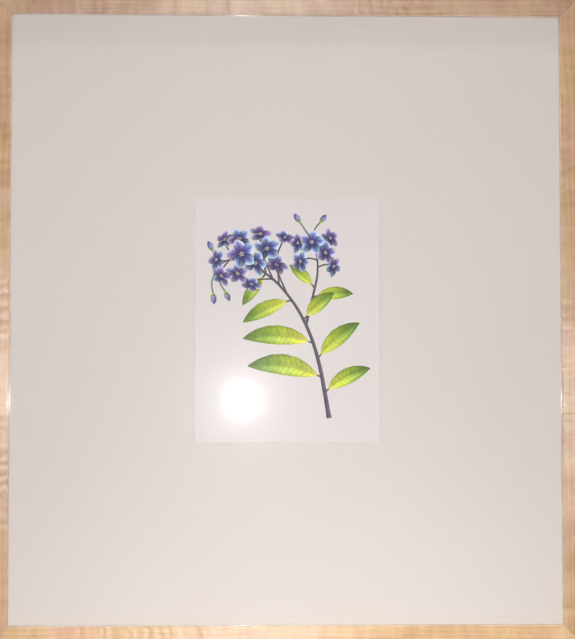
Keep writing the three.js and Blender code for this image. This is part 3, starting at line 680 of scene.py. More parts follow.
def strap(side, x):
    """Sheet steel folded round the ring's bar: swept side view, cut to a round end, eased all round."""
    join, knee = (STRAP_T, -4.4), (2 * STRAP_T, -5.6)

    def tangent(px, pz, r):
        dx, dz = px - LOOP_OUT, pz
        far = math.hypot(dx, dz)
        return math.atan2(dz, dx) + math.acos(r / far)

    a_out, a_in = tangent(*knee, LOOP_OUT), tangent(*join, LOOP_IN)
    unwind = lambda a: a - 2 * math.pi if a > math.pi else a
    deg = math.degrees
    outer = [(0, -STRAP_L)] + [(0, -STRAP_L + k) for k in (1, 2.5, 4.2, 8, 16, 24)]
    outer += arc_points(LOOP_OUT, 0, LOOP_OUT, 180, deg(unwind(a_out)), 22)
    outer += [knee] + [(2 * STRAP_T, z) for z in (-8, -16, -24, -STRAP_L + 4.2, -STRAP_L + 2.5, -STRAP_L + 1, -STRAP_L)]
    inner = arc_points(LOOP_OUT, 0, LOOP_IN, 180, deg(unwind(a_in)), 22) + [join]
    bm = bmesh.new()
    rings = []
    for loop in (outer, inner):
        rings.append([bm.verts.new((w, z, 0)) for w, z in loop])
    edges = [bm.edges.new((r[i], r[(i + 1) % len(r)])) for r in rings for i in range(len(r))]
    bmesh.ops.triangle_fill(bm, use_beauty=True, edges=edges)
    moved = bmesh.ops.extrude_face_region(bm, geom=bm.faces[:])
    for v in moved["geom"]:
        if isinstance(v, bmesh.types.BMVert):
            v.co.z = 1
    mesh = bpy.data.meshes.new("strap_" + side)
    bm.to_mesh(mesh)
    bm.free()
    made = bpy.data.objects.new("strap_" + side, mesh)
    bpy.context.scene.collection.objects.link(made)
    h = STRAP_W / 2
    for v in mesh.vertices:
        w, zz, k = v.co
        v.co = at(x - h + k * STRAP_W, STRAP_Y + w, RING_Z + zz)
    bm = bmesh.new()
    bm.from_mesh(mesh)
    bmesh.ops.recalc_face_normals(bm, faces=bm.faces)
    bm.to_mesh(mesh)
    bm.free()
    # the round end
    cut = bpy.data.meshes.new("cut")
    zc = -STRAP_L + h
    line = [(-h - 3, zc - h - 3), (h + 3, zc - h - 3), (h + 3, zc), (h, zc)]
    line += [(h * math.cos(math.radians(a)), zc + h * math.sin(math.radians(a))) for a in range(-4, -180, -4)]
    line += [(-h, zc), (-h - 3, zc)]
    pts = [at(x + p, y, RING_Z + q) for y in (STRAP_Y - 2, STRAP_Y + 8) for p, q in line]
    m = len(line)
    fs = [(i, (i + 1) % m, (i + 1) % m + m, i + m) for i in range(m)] + [tuple(range(m)), tuple(reversed(range(m, 2 * m)))]
    cut.from_pydata(pts, [], fs)
    bm = bmesh.new()
    bm.from_mesh(cut)
    bmesh.ops.recalc_face_normals(bm, faces=bm.faces)
    bm.to_mesh(cut)
    bm.free()
    cutter = bpy.data.objects.new("cut", cut)
    bpy.context.scene.collection.objects.link(cutter)
    modifier = made.modifiers.new("cut", "BOOLEAN")
    modifier.operation, modifier.solver, modifier.object = "DIFFERENCE", "EXACT", cutter
    apply_modifiers(made)
    bpy.data.objects.remove(cutter)
    # the screw holes, with dimples where the heads bear
    for below in SCREW_AT:
        hole = bpy.data.meshes.new("hole")
        prof = [(0.0, STRAP_Y - 1), (SCREW_R + 0.25, STRAP_Y - 1), (SCREW_R + 0.25, STRAP_Y + 2 * STRAP_T - 0.35), (SCREW_R + 0.6, STRAP_Y + 2 * STRAP_T + 0.02), (SCREW_R + 0.6, HEAD_Y + 2), (0.0, HEAD_Y + 2)]
        hp, hf, k = [], [], 36
        for r, y in prof[1:-1]:
            for i in range(k):
                a = 2 * math.pi * i / k
                hp.append(at(x + r * math.cos(a), y, RING_Z - below + r * math.sin(a)))
        hf = tube_faces(4, k) + [tuple(range(k)), tuple(reversed(range(3 * k, 4 * k)))]
        hole.from_pydata(hp, [], hf)
        bm = bmesh.new()
        bm.from_mesh(hole)
        bmesh.ops.recalc_face_normals(bm, faces=bm.faces)
        bm.to_mesh(hole)
        bm.free()
        drill = bpy.data.objects.new("hole", hole)
        bpy.context.scene.collection.objects.link(drill)
        modifier = made.modifiers.new("hole", "BOOLEAN")
        modifier.operation, modifier.solver, modifier.object = "DIFFERENCE", "EXACT", drill
        apply_modifiers(made)
        bpy.data.objects.remove(drill)
    modifier = made.modifiers.new("ease", "BEVEL")
    modifier.width, modifier.segments, modifier.limit_method, modifier.angle_limit = 0.00016, 3, "ANGLE", math.radians(42)
    apply_modifiers(made)
    made.data.materials.clear()
    made.data.materials.append(zinc)
    made.data.shade_smooth()
    made.data.set_sharp_from_angle(angle=math.radians(40))
    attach(made, "frame")
    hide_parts("hanger_strap_" + side)
    return made


def ring(side, x):
    """A round wire bent into a D, its ends butted in the middle of the bar."""
    c, w = RING_CORNER, RING_HALF_W
    path = [(RING_BUTT / 2, 0), (1.2, 0), (2.5, 0), (w - c, 0)]
    path += arc_points(w - c, c, c, -90, 0, 12)[1:]
    path += [(w, RING_SIDE)]
    path += arc_points(0, RING_SIDE, w, 0, 180, 44)[1:]
    path += [(-w, c)]
    path += arc_points(-w + c, c, c, 180, 270, 12)[1:]
    path += [(-2.5, 0), (-1.2, 0), (-RING_BUTT / 2, 0)]
    p = np.array(path)
    d = np.gradient(p, axis=0)
    d /= np.hypot(*d.T)[:, None]
    around = 28
    points = []
    rows = []
    for i, (q, t) in enumerate(zip(p, d)):
        rows.append((q, t, WIRE_R))
    # cropped ends, eased
    q0, t0, q1, t1 = p[0], d[0], p[-1], d[-1]
    rows = [(q0, t0, WIRE_R - 0.22)] + [(q0 + t0 * 0.09, t0, WIRE_R - 0.05), (q0 + t0 * 0.25, t0, WIRE_R)] + rows[1:-1] + [(q1 - t1 * 0.25, t1, WIRE_R), (q1 - t1 * 0.09, t1, WIRE_R - 0.05), (q1, t1, WIRE_R - 0.22)]
    for q, t, r in rows:
        n = np.array([-t[1], t[0]])
        for k in range(around):
            a = 2 * math.pi * k / around
            off = r * math.cos(a) * n
            points.append((x + q[0] + off[0], RING_Y + r * math.sin(a), RING_Z + q[1] + off[1]))
    faces = tube_faces(len(rows), around)
    faces.append(tuple(range(around)))
    faces.append(tuple((len(rows) - 1) * around + k for k in reversed(range(around))))
    return piece("d_ring_" + side, points, faces, zinc_wire, body="ring_" + side, replaces=["hanger_ring_" + side], sharp=50)


def screw(name, x, z, turn):
    """A pan-head wood screw: domed head with a cross recess, on a plain shank that tapers to a point."""
    around = 48
    profile = [(0.02, -SCREW_L), (0.5, -SCREW_L + 1.6), (1.05, -SCREW_L + 3.2)]
    profile += [(1.16, y) for y in (-SCREW_L + 4.4, -7.5, -6.5)]
    profile += [(SCREW_R, -6.0), (SCREW_R, -3.0), (SCREW_R, -0.4), (SCREW_R, 0.0)]
    profile += [(HEAD_R - 0.12, 0.0), (HEAD_R, 0.1), (HEAD_R, 0.5)]
    for k in range(1, 13):
        a = math.radians(90 * k / 12)
        profile.append((max(HEAD_R * math.cos(a) ** 0.8, 0.02), 0.5 + (HEAD_H - 0.5) * math.sin(a) ** 1.15))
    points = []
    for r, y in profile:
        for k in range(around):
            a = 2 * math.pi * k / around
            points.append((x + r * math.cos(a), HEAD_Y + y, z + r * math.sin(a)))
    faces = tube_faces(len(profile), around) + [tuple(range(around)), tuple((len(profile) - 1) * around + k for k in reversed(range(around)))]
    made = piece("screw_" + name, points, faces, zinc, replaces=["hanger_screw_" + name], sharp=35)
    # the cross recess: two crossed tapered slots that deepen to the middle
    bm = bmesh.new()
    for quarter in (0, 90):
        a = math.radians(turn + quarter)
        ux, uz = math.cos(a), math.sin(a)
        vx, vz = -uz, ux
        top, low = HEAD_Y + HEAD_H + 0.5, HEAD_Y + HEAD_H - 1.35
        verts = []
        for y, l, w in ((top, 1.95, 0.46), (low, 0.75, 0.24)):
            for su, sv in ((-1, -1), (1, -1), (1, 1), (-1, 1)):
                verts.append(bm.verts.new(at(x + ux * l * su + vx * w * sv, y, z + uz * l * su + vz * w * sv)))
        for f in ((0, 1, 2, 3), (7, 6, 5, 4), (0, 4, 5, 1), (1, 5, 6, 2), (2, 6, 7, 3), (3, 7, 4, 0)):
            bm.faces.new([verts[i] for i in f])
    bmesh.ops.recalc_face_normals(bm, faces=bm.faces)
    tool_mesh = bpy.data.meshes.new("recess")
    bm.to_mesh(tool_mesh)
    bm.free()
    tool = bpy.data.objects.new("recess", tool_mesh)
    bpy.context.scene.collection.objects.link(tool)
    modifier = made.modifiers.new("recess", "BOOLEAN")
    modifier.operation, modifier.solver, modifier.object = "DIFFERENCE", "EXACT", tool
    modifier.use_self = True
    apply_modifiers(made)
    bpy.data.objects.remove(tool)
    made.data.shade_smooth()
    made.data.set_sharp_from_angle(angle=math.radians(35))
    return made


def bumper(side, x):
    """A felt disc with a soft, slightly uneven edge."""
    around, rows = 72, []
    rows += [(r, 0.0) for r in (0.9, 2.0, 3.4, 4.5)]
    rows += [(BUMPER_R - 0.18, 0.04), (BUMPER_R - 0.05, 0.3), (BUMPER_R - 0.02, 1.1), (BUMPER_R - 0.04, 1.9), (BUMPER_R - 0.16, 2.45), (BUMPER_R - 0.5, 2.8), (4.0, 2.93), (3.2, 2.96), (2.2, 2.97), (1.1, 2.97)]
    points = [(x, BUMPER_Y, BUMPER_Z)]
    for i, (r, y) in enumerate(rows):
        a = np.linspace(0, 2 * math.pi, around, endpoint=False)
        fuzz = noise(np.cos(a) * 9 + 20, np.sin(a) * 9 + i * 2.1 + 20, 51 if x > 0 else 52)
        rr = r - 0.16 * fuzz * (r > 4.2)
        yy = y - (0.12 * fuzz if y > 2 else 0)
        points += [(x + q * math.cos(t), BUMPER_Y + h, BUMPER_Z + q * math.sin(t)) for q, h, t in zip(rr, np.broadcast_to(yy, a.shape), a)]
    points.append((x, BUMPER_Y + 2.9, BUMPER_Z))
    faces = [(i + 1, j + 1, j + 1 + around, i + 1 + around) for r in range(len(rows) - 1) for i, j in ((r * around + k, r * around + (k + 1) % around) for k in range(around))]
    faces += [(0, (k + 1) % around + 1, k + 1) for k in range(around)]
    last = (len(rows) - 1) * around + 1
    faces += [(len(points) - 1, last + k, last + (k + 1) % around) for k in range(around)]
    return piece("felt_bumper_" + side, points, faces, FELT, replaces=["wall_bumper_" + side], sharp=70)


FELT = felt("felt")
for side, s in (("left", -1), ("right", 1)):
    strap(side, s * HANGER_X)
    ring(side, s * HANGER_X)
    screw(side + "_upper", s * HANGER_X, RING_Z - SCREW_AT[0], 22 if s < 0 else 61)
    screw(side + "_lower", s * HANGER_X, RING_Z - SCREW_AT[1], 75 if s < 0 else 8)
    bumper(side, s * BUMPER_X)

# ---- the print: a generic flowering spray in violet-blue, yellow-green and slate --------------------------

def c(*rgb):
    """A printed colour from display values."""
    return np.array(rgb, float) / 255


def ramp(t, stops):
    xs = [s[0] for s in stops]
    cols = np.array([s[1] for s in stops])
    return np.stack([np.interp(t, xs, cols[:, k]) for k in range(3)], -1)



class Strip:
    """A tapered band along a spine. half(t) is its half width in mm, t runs from 0 to 1."""

    def __init__(self, points, half):
        p = np.array(points, float)
        seg = np.hypot(*np.diff(p, axis=0).T)
        self.len = seg.sum()
        self.t = np.r_[0, np.cumsum(seg)] / self.len
        self.p = p
        d = np.gradient(p, axis=0)
        self.d = d / np.hypot(*d.T)[:, None]
        self.n = np.stack([-self.d[:, 1], self.d[:, 0]], -1)
        self.w = np.maximum(half(self.t), 0.02)

    def outline(self):
        left = self.p + self.n * self.w[:, None]
        right = self.p - self.n * self.w[:, None]
        return np.concatenate([left, right[::-1]])

    def coords(self, x, y):
        """t along and s across (-1 right, 1 left) for points in the band."""
        q = np.stack([x, y], -1)
        best = np.empty(len(q), int)
        for i in range(0, len(q), 4000):
            part = q[i : i + 4000]
            best[i : i + 4000] = ((part[:, None] - self.p[None]) ** 2).sum(-1).argmin(1)
        off = q - self.p[best]
        along = (off * self.d[best]).sum(-1) / self.len
        t = np.clip(self.t[best] + along, 0, 1)
        w = np.interp(t, self.t, self.w)
        s = (off * self.n[best]).sum(-1) / w
        return t, np.clip(s, -1, 1), w


def arc(base, heading, length, bend, n=70, sway=0.0):
    """Points along a spine that leaves base at heading (degrees) and turns by bend (degrees)."""
    t = (np.arange(n) + 0.5) / n
    a = np.radians(heading + bend * t + sway * np.sin(2 * math.pi * t))
    step = length / n
    x = base[0] + np.r_[0, np.cumsum(np.cos(a)) * step]
    y = base[1] + np.r_[0, np.cumsum(np.sin(a)) * step]
    return np.stack([x, y], -1)


def through(points, n=220):
    """A smooth curve through the given points."""
    p = np.array(points, float)
    p = np.concatenate([[2 * p[0] - p[1]], p, [2 * p[-1] - p[-2]]])
    out = []
    k = len(p) - 3
    for i in range(k):
        a, b, cc, d = p[i : i + 4]
        u = np.linspace(0, 1, n // k, endpoint=i == k - 1)[:, None]
        out.append(
            0.5 * (2 * b + (cc - a) * u + (2 * a - 5 * b + 4 * cc - d) * u**2 + (3 * b - a - 3 * cc + d) * u**3)
        )
    return np.concatenate(out)



YELLOW, LIME, GREEN, DEEP = c(228, 212, 88), c(172, 188, 50), c(116, 146, 40), c(68, 98, 30)
SLATE, SLATE_LIT, SLATE_DARK = c(84, 74, 92), c(136, 126, 148), c(46, 38, 56)
PALE, LILAC, VIOLET, INDIGO, NIGHT = c(228, 230, 246), c(178, 180, 224), c(108, 100, 172), c(66, 54, 120), c(42, 28, 66)
ANTHER = c(226, 204, 96)


def leaf_paint(strip, seed, veins=11, lit=1.0, warm=0.0):
    def paint(x, y):
        t, s, w = strip.coords(x, y)
        col = ramp(np.clip(t + warm, 0, 1), [(0, YELLOW), (0.16, mix(YELLOW, LIME, 0.6)), (0.42, LIME), (0.74, GREEN), (1, DEEP)])
        a = np.abs(s)
        # one half of the blade turns to the light, the other away from it
        turn = np.tanh(s * 5) * 0.5 * lit
        k = 1.0 + 0.2 * turn
        # each half is a shallow trough: darker by the rib, bright halfway out, darker at the margin
        k = k + 0.13 * np.sin(np.clip(a, 0, 1) * math.pi) - 0.10 * smooth(0.72, 1.0, a)
        # side veins leave the rib at a slant and bend towards the tip
        phase = t * veins - 0.9 * a**1.4 + 0.1 * np.sign(s)
        v = np.abs(phase - np.round(phase))
        vein = (1 - smooth(0.0, 0.09, v)) * smooth(0.04, 0.2, a) * (1 - smooth(0.75, 0.98, a)) * smooth(0.03, 0.15, t)
        k = k + 0.065 * np.sin((phase - 0.25) * 2 * math.pi) * smooth(0.05, 0.3, a) * (1 - smooth(0.8, 1.0, a))
        k = k + 0.16 * (noise(x / 6.0, y / 6.0, seed) - 0.5) + 0.07 * (noise(x / 1.3, y / 1.3, seed + 3) - 0.5)
        col = col * k[:, None]
        col = mix(col, mix(col, YELLOW, 0.5), 0.42 * vein)
        gleam = np.exp(-(((s * lit - 0.5) / 0.2) ** 2)) * smooth(0.12, 0.4, t) * (1 - smooth(0.6, 0.95, t)) * (0.4 + 0.9 * noise(x / 9.0, y / 9.0, seed + 8))
        col = mix(col, c(226, 238, 206), 0.34 * np.clip(gleam, 0, 1))
        rib = 1 - smooth(0.25, 1.0, np.abs(s) * w / np.clip(0.75 * (1 - t), 0.22, 1))
        col = mix(col, mix(YELLOW, c(236, 238, 190), 0.4), 0.72 * rib * (1 - smooth(0.9, 1.0, t)))
        under = smooth(0.0, 0.5, -s * w) * (1 - smooth(0.5, 1.6, -s * w))
        col = col * (1 - 0.16 * under * (1 - smooth(0.8, 1, t)))[:, None]
        rim = smooth(0.9, 1.0, a)
        return mix(col, mix(col, YELLOW, 0.35), 0.4 * rim)

    return paint


def stalk_paint(strip, seed, tip=0.0):
    def paint(x, y):
        t, s, w = strip.coords(x, y)
        body = mix(SLATE, mix(SLATE, c(92, 104, 62), 0.75), np.clip(tip * t * 1.1, 0, 1))
        lit = np.exp(-(((s - 0.35) / 0.32) ** 2))
        edge = smooth(0.45, 1.0, -s) + 0.4 * smooth(0.75, 1.0, s)
        col = mix(body, SLATE_LIT, 0.6 * lit)
        col = mix(col, SLATE_DARK, 0.7 * np.clip(edge, 0, 1))
        k = 1 + 0.22 * (noise(x / 2.2, y / 5.0, seed) - 0.5) + 0.1 * (noise(x / 0.8, y / 2.5, seed + 1) - 0.5)
        return col * k[:, None]

    return paint


class Flower:
    """A five-petalled blossom in its own tilted plane. tilt 1 faces the viewer; towards is the direction it leans to (degrees)."""

    def __init__(self, x, y, r, spin, tilt=1.0, towards=0.0, seed=0, petals=5, tone=0.0):
        self.o = np.array([x, y], float)
        self.r, self.spin, self.seed, self.petals, self.tone = r, spin, seed, petals, tone
        a = math.radians(towards)
        rot = np.array([[math.cos(a), -math.sin(a)], [math.sin(a), math.cos(a)]])
        self.m = rot @ np.diag([tilt, 1.0]) @ rot.T
        self.inv = np.linalg.inv(self.m)

    def plane(self, x, y):
        return np.stack([x - self.o[0], y - self.o[1]], -1) @ self.inv.T

    def petal(self, k):
        rng = np.random.default_rng(1000 + self.seed * 17 + k)
        a = math.radians(self.spin + 360 / self.petals * k + rng.uniform(-5, 5))
        length = self.r * rng.uniform(0.93, 1.06)
        width = self.r * rng.uniform(0.35, 0.42)
        curl = rng.uniform(-0.12, 0.12)
        notch = rng.uniform(0.3, 1.0)
        n = 64
        # the outline in petal coordinates: u outwards, v across, both in mm
        th = np.linspace(-math.pi, math.pi, n, endpoint=False)
        u = length * (0.52 + 0.48 * np.cos(th))
        share = u / length
        half = width * np.power(np.clip(np.sin(math.pi * np.power(share, 1.25)), 0, 1), 0.62) * (0.55 + 0.45 * smooth(0.0, 0.55, share))
        v = half * np.sign(np.sin(th))
        v = v * np.power(np.abs(np.sin(th)), 0.02)
        # a shallow dip and a small point at the tip
        near = np.exp(-((v / (0.22 * width)) ** 2)) * smooth(0.9, 1.0, share)
        u = u + length * 0.035 * notch * near
        wav = 1 + 0.035 * np.sin(5 * th + rng.uniform(0, 6))
        v = v * wav
        v2 = v + curl * u * u / length
        d = np.array([math.cos(a), math.sin(a)])
        e = np.array([-d[1], d[0]])
        pts = (u[:, None] * d + v2[:, None] * e) @ self.m.T + self.o
        facing = float(d @ np.array([-0.55, 0.83]))

        def paint(x, y):
            q = self.plane(x, y)
            uu = q @ d
            vv = q @ e - curl * uu * uu / length
            t = np.clip(uu / length, 0, 1.05)
            s = np.clip(vv / width, -1.1, 1.1)
            b = np.abs(s)
            base = ramp(t, [(0, NIGHT), (0.1, NIGHT), (0.24, INDIGO), (0.42, VIOLET), (0.62, mix(VIOLET, LILAC, 0.55)), (0.86, LILAC), (1.05, mix(LILAC, PALE, 0.7))])
            # paler margins, a deep streak along the middle, fine rays
            col = mix(base, PALE, 0.78 * smooth(0.4, 0.98, b / (0.35 + 0.65 * np.sin(math.pi * np.clip(t, 0.05, 0.95)))) * smooth(0.25, 0.6, t))
            streak = np.exp(-((s / (0.13 + 0.05 * t)) ** 2)) * (1 - smooth(0.55, 0.97, t))
            col = mix(col, mix(INDIGO, NIGHT, 0.3), 0.8 * streak)
            ray = np.sin(np.arctan2(s, 0.25 + t) * 34 + 3 * noise(uu / 5, vv / 5, self.seed))
            col = col * (1 + 0.05 * ray * smooth(0.12, 0.4, t) * (1 - smooth(0.85, 1.0, t)))[:, None]
            # light from the upper left, and the far side of each petal dips under its neighbour
            k = 1 + 0.13 * facing + 0.10 * s - 0.4 * smooth(0.05, 0.9, -s) * (1 - smooth(0.4, 0.95, t))
            k = k + 0.16 * (noise(uu / 4.5 + 9, vv / 4.5, self.seed + k_seed) - 0.5) + self.tone
            # some petals lean to mauve, others to blue
            lean = 0.09 * math.sin(2.4 * self.seed + 1.7 * k_seed)
            return col * k[:, None] * np.array([1 + lean, 1 - 0.4 * lean, 1 - 0.2 * lean])

        k_seed = 7 * k
        return pts, paint

    def heart(self):
        """The pale star in the throat and its anthers."""
        made = []
        r = self.r * 0.13
        n = 40
        th = np.linspace(0, 2 * math.pi, n, endpoint=False)
        rad = r * (1 + 0.42 * np.cos(self.petals * (th - math.radians(self.spin))))
        pts = np.stack([rad * np.cos(th), rad * np.sin(th)], -1) @ self.m.T + self.o

        def star(x, y):
            q = np.hypot(*self.plane(x, y).T) / r
            return mix(mix(NIGHT, VIOLET, 0.35), PALE, smooth(0.15, 0.9, q) * 0.85)

        made.append((pts, star))
        for k in range(self.petals):
            a = math.radians(self.spin + 36 + 72 * k)
            o = (np.array([math.cos(a), math.sin(a)]) * r * 0.62) @ self.m.T + self.o
            rr = self.r * 0.034
            pts = np.stack([rr * 1.5 * np.cos(th[::3]), rr * np.sin(th[::3])], -1)
            rot = np.array([[math.cos(a), math.sin(a)], [-math.sin(a), math.cos(a)]])
            made.append(((pts @ rot) @ self.m.T + o, lambda x, y, o=o, rr=rr: mix(ANTHER * 0.72, ANTHER, smooth(1.2, 0.0, np.hypot(x - o[0], y - o[1]) / rr))))
        return made


def flat(colour):
    return lambda x, y: np.repeat(colour[None], len(x), 0)


def spray():
    """All shapes, lowest first: (outline, paint, occluding flower or None)."""
    shapes = []
    stem_pts = through([(-50, -122), (-45, -92), (-38, -56), (-27, -20), (-10, 14), (14, 44), (42, 64), (70, 72), (90, 62)])
    stem = Strip(stem_pts, lambda t: 2.75 - 1.75 * t**0.9 + 0.5 * np.exp(-((t / 0.02) ** 2)))

    def on_stem(t, strip=stem):
        i = int(np.searchsorted(strip.t, t))
        i = min(i, len(strip.t) - 1)
        return strip.p[i], math.degrees(math.atan2(strip.d[i][1], strip.d[i][0]))

    def leaf(t, off, length, half, bend, petiole=7.0, seed=0, veins=11, strip=stem, sway=0, warm=0.0, back=False):
        p, h = on_stem(t, strip)
        heading = h + off
        pet = arc(p, heading, petiole, bend * 0.1, n=10)
        shapes.append((Strip(pet, lambda u: 1.25 - 0.35 * u).outline(), None, None))
        band = Strip(pet, lambda u: 1.25 - 0.35 * u)
        shapes[-1] = (band.outline(), stalk_paint(band, seed, 1.4), None)
        start = pet[-1] - (pet[-1] - pet[-2]) * 0.5
        blade_pts = arc(start, heading + bend * 0.1, length, bend, sway=sway)

        def half_at(u):
            w = np.power(u, 0.86) * np.power(np.clip(1 - u, 0, 1), 0.94)
            w = w / 0.2871
            return half * w * (1 + 0.02 * np.sin(u * 37 + seed)) + 0.35 * (1 - u)

        blade = Strip(blade_pts, half_at)
        shapes.append((blade.outline(), leaf_paint(blade, seed * 5 + 2, veins, lit=-1.0 if off < 0 else 1.0, warm=warm), None))

    branch_pts = through([(-22, -8), (-30, 26), (-36, 56), (-34, 84), (-24, 104)])
    branch = Strip(branch_pts, lambda t: 1.75 - 0.85 * t)

    # leaves behind
    leaf(0.115, 56, 58, 9.5, 30, seed=1)
    leaf(0.275, 50, 62, 10.0, 26, seed=3, warm=0.03)
    leaf(0.345, -48, 82, 11.5, -36, seed=4, veins=13)
    leaf(0.57, -66, 60, 9.0, -24, seed=6)
    leaf(0.30, 60, 44, 7.6, 24, seed=7, strip=branch, veins=9)
    leaf(0.74, -84, 42, 7.0, -10, seed=9, veins=9)
    leaf(0.40, -52, 36, 6.6, -18, seed=10, strip=branch, veins=9)

    def pedicel(t, x, y, strip=stem, width=0.85):
        p, h = on_stem(t, strip)
        d = np.array([x, y]) - p
        mid = p + d * 0.5 + 0.14 * np.hypot(*d) * np.array([math.cos(math.radians(h)), math.sin(math.radians(h))])
        band = Strip(through([p, mid, (x, y)], n=24), lambda u: width + 0.25 * (1 - u) + 0.3 * u**6)
        shapes.append((band.outline(), stalk_paint(band, int(x * 3) % 97, 1.0), None))
        return math.degrees(math.atan2(y - mid[1], x - mid[0]))

    def calyx(x, y, heading, size, seed=0, splay=24):
        for k, off in enumerate((-splay, splay, 0)):
            band = Strip(arc((x, y), heading + off, size, off * 0.9, n=16), lambda u: size * 0.2 * np.power(u + 0.06, 0.4) * np.power(np.clip(1 - u, 0, 1), 0.8) * 1.7 + 0.15)
            shapes.append((band.outline(), leaf_paint(band, seed + k, 1, lit=0.6, warm=0.35), None))

    def bud(t, x, y, length, half, strip=stem, seed=0, open_=0.0):
        h = pedicel(t, x, y, strip, 0.7)
        for k, (off, wide) in enumerate(((-9 - 12 * open_, 0.8), (9 + 12 * open_, 0.8), (0, 0.86))):
            band = Strip(arc((x, y), h + off, length * (1 - 0.06 * (k < 2)), off * -1.6, n=30), lambda u, w=wide: half * w * np.power(np.clip(np.sin(math.pi * np.power(u, 0.8)), 0, 1), 0.7) + 0.2)

            def paint(px, py, band=band, k=k):
                tt, ss, _ = band.coords(px, py)
                col = ramp(tt, [(0, mix(LIME, LILAC, 0.45)), (0.25, mix(LILAC, VIOLET, 0.3)), (0.7, VIOLET), (1, INDIGO)])
                col = mix(col, PALE, 0.4 * np.exp(-(((ss - 0.4) / 0.3) ** 2)))
                kk = 1 - 0.32 * smooth(0.2, 1, -ss) + 0.12 * (noise(px / 3, py / 3, seed + k) - 0.5) - (0.12 if k < 2 else 0)
                return col * kk[:, None]

            shapes.append((band.outline(), paint, None))
        calyx(x - 1.2 * math.cos(math.radians(h)), y - 1.2 * math.sin(math.radians(h)), h, length * 0.42, seed)

    def flower(t, x, y, r, spin, tilt=1.0, towards=0.0, strip=stem, seed=0, tone=0.0):
        h = pedicel(t, x, y, strip)
        f = Flower(x, y, r, spin, tilt, towards, seed, tone=tone)
        if tilt < 0.8:
            back = np.array([math.cos(math.radians(h)), math.sin(math.radians(h))])
            tube_start = f.o - back * r * 0.62
            band = Strip(np.linspace(tube_start, f.o, 14), lambda u: r * (0.07 + 0.10 * u**1.6))

            def tube(px, py, band=band):
                tt, ss, _ = band.coords(px, py)
                col = mix(mix(LILAC, PALE, 0.3), VIOLET, smooth(0.1, 0.9, tt))
                return col * (1 - 0.4 * smooth(-0.1, 1, -ss) + 0.06 * ss)[:, None]

            calyx(*(tube_start - back * 0.8), h, r * 0.38, seed)
            shapes.append((band.outline(), tube, None))
        order = list(range(5))
        for k in order:
            pts, paint = f.petal(k)
            shapes.append((pts, paint, f))
        shapes.extend((a, b, f) for a, b in f.heart())

    # buds at the tips, behind the blossoms
    bud(0.985, 92, 30, 13, 3.6, seed=31)
    bud(0.95, 93, 84, 12, 3.5, seed=33)
    bud(0.97, 77, 32, 12, 3.4, seed=35)
    bud(0.975, -14, 119, 12, 3.4, strip=branch, seed=41)
    bud(0.9, -40, 119, 11, 3.2, strip=branch, seed=43)

    shapes.append((branch.outline(), stalk_paint(branch, 3, 0.8), None))
    shapes.append((stem.outline(), stalk_paint(stem, 5, 0.5), None))

    # leaves in front of the stem
    leaf(0.185, -54, 88, 12.5, -30, seed=2, veins=13, sway=4)
    leaf(0.46, 62, 44, 8.6, 24, seed=5, veins=9)

    # blossoms, lowest first
    flower(0.88, 78, 97, 13, 20, 0.7, 50, seed=11, tone=-0.10)
    flower(0.60, 14, 66, 14.5, 48, 0.8, 120, seed=12, tone=-0.08)
    flower(0.70, 34, 104, 14, 30, 0.74, 95, seed=22, tone=-0.06)
    flower(0.66, 4, 100, 12, 22, 0.7, 110, seed=20, tone=-0.06)
    flower(0.92, 82, 52, 14.5, 34, 0.72, -50, seed=14, tone=-0.05)
    flower(0.70, 45, 42, 14, 55, 0.66, -70, seed=15, tone=-0.08)
    flower(0.84, 60, 98, 15, 65, 0.86, 70, seed=23, tone=-0.02)
    flower(0.94, 88, 72, 13.5, 5, 0.72, 10, seed=24, tone=-0.04)
    flower(0.74, 26, 86, 16.5, 10, 0.92, 80, seed=13)
    flower(0.80, 62, 55, 15, 18, 0.82, -60, seed=25, tone=-0.03)
    flower(0.74, 40, 68, 15.5, 42, 0.9, 160, seed=26, tone=-0.01)
    flower(0.82, 57, 79, 18.5, 0, 0.98, 30, seed=16, tone=0.05)
    flower(0.80, -52, 99, 13.5, 12, 0.72, 150, strip=branch, seed=17, tone=-0.05)
    flower(0.62, -56, 64, 13, 62, 0.7, 190, strip=branch, seed=19, tone=-0.08)
    flower(0.70, -15, 70, 13.5, 40, 0.8, 0, strip=branch, seed=18, tone=-0.04)
    flower(0.86, -12, 93, 13, 8, 0.8, 20, strip=branch, seed=27, tone=-0.05)
    flower(0.76, -46, 81, 14.5, 30, 0.86, 170, strip=branch, seed=28, tone=-0.02)
    flower(0.88, -29, 94, 16, 28, 0.95, 90, strip=branch, seed=21, tone=0.04)
    return shapes


def shade_all(shapes):
    """Turns the drawing left to right about the window's middle, and lets a blossom darken what lies close under it."""
    out = []
    flowers = [(i, s[2]) for i, s in enumerate(shapes) if s[2] is not None]
    last = {}
    for i, f in flowers:
        last.setdefault(id(f), (i, f))
    firsts = list(last.values())
    for i, (pts, paint, f) in enumerate(shapes):
        above = [g for j, g in firsts if j > i]

        def full(x, y, paint=paint, above=above):
            x = 2.0 - x
            col = paint(x, y)
            k = np.ones(len(x))
            for g in above:
                q = g.plane(x + 0.9, y - 1.4)
                d = np.hypot(*q.T) / g.r
                k = k * (1 - 0.42 * (1 - smooth(0.55, 1.22, d)))
            return np.clip(col * k[:, None], 0, 1)

        out.append((np.stack([2.0 - pts[:, 0], pts[:, 1]], -1), full))
    return out


def inside(points, outline):
    """Even-odd test of points against one closed outline."""
    x, y = points[:, 0], points[:, 1]
    hit = np.zeros(len(points), bool)
    a, b = outline, np.roll(outline, -1, 0)
    for (x0, y0), (x1, y1) in zip(a, b):
        if y0 == y1:
            continue
        cross = ((y0 > y) != (y1 > y)) & (x < (x1 - x0) * (y - y0) / (y1 - y0) + x0)
        hit ^= cross
    return hit


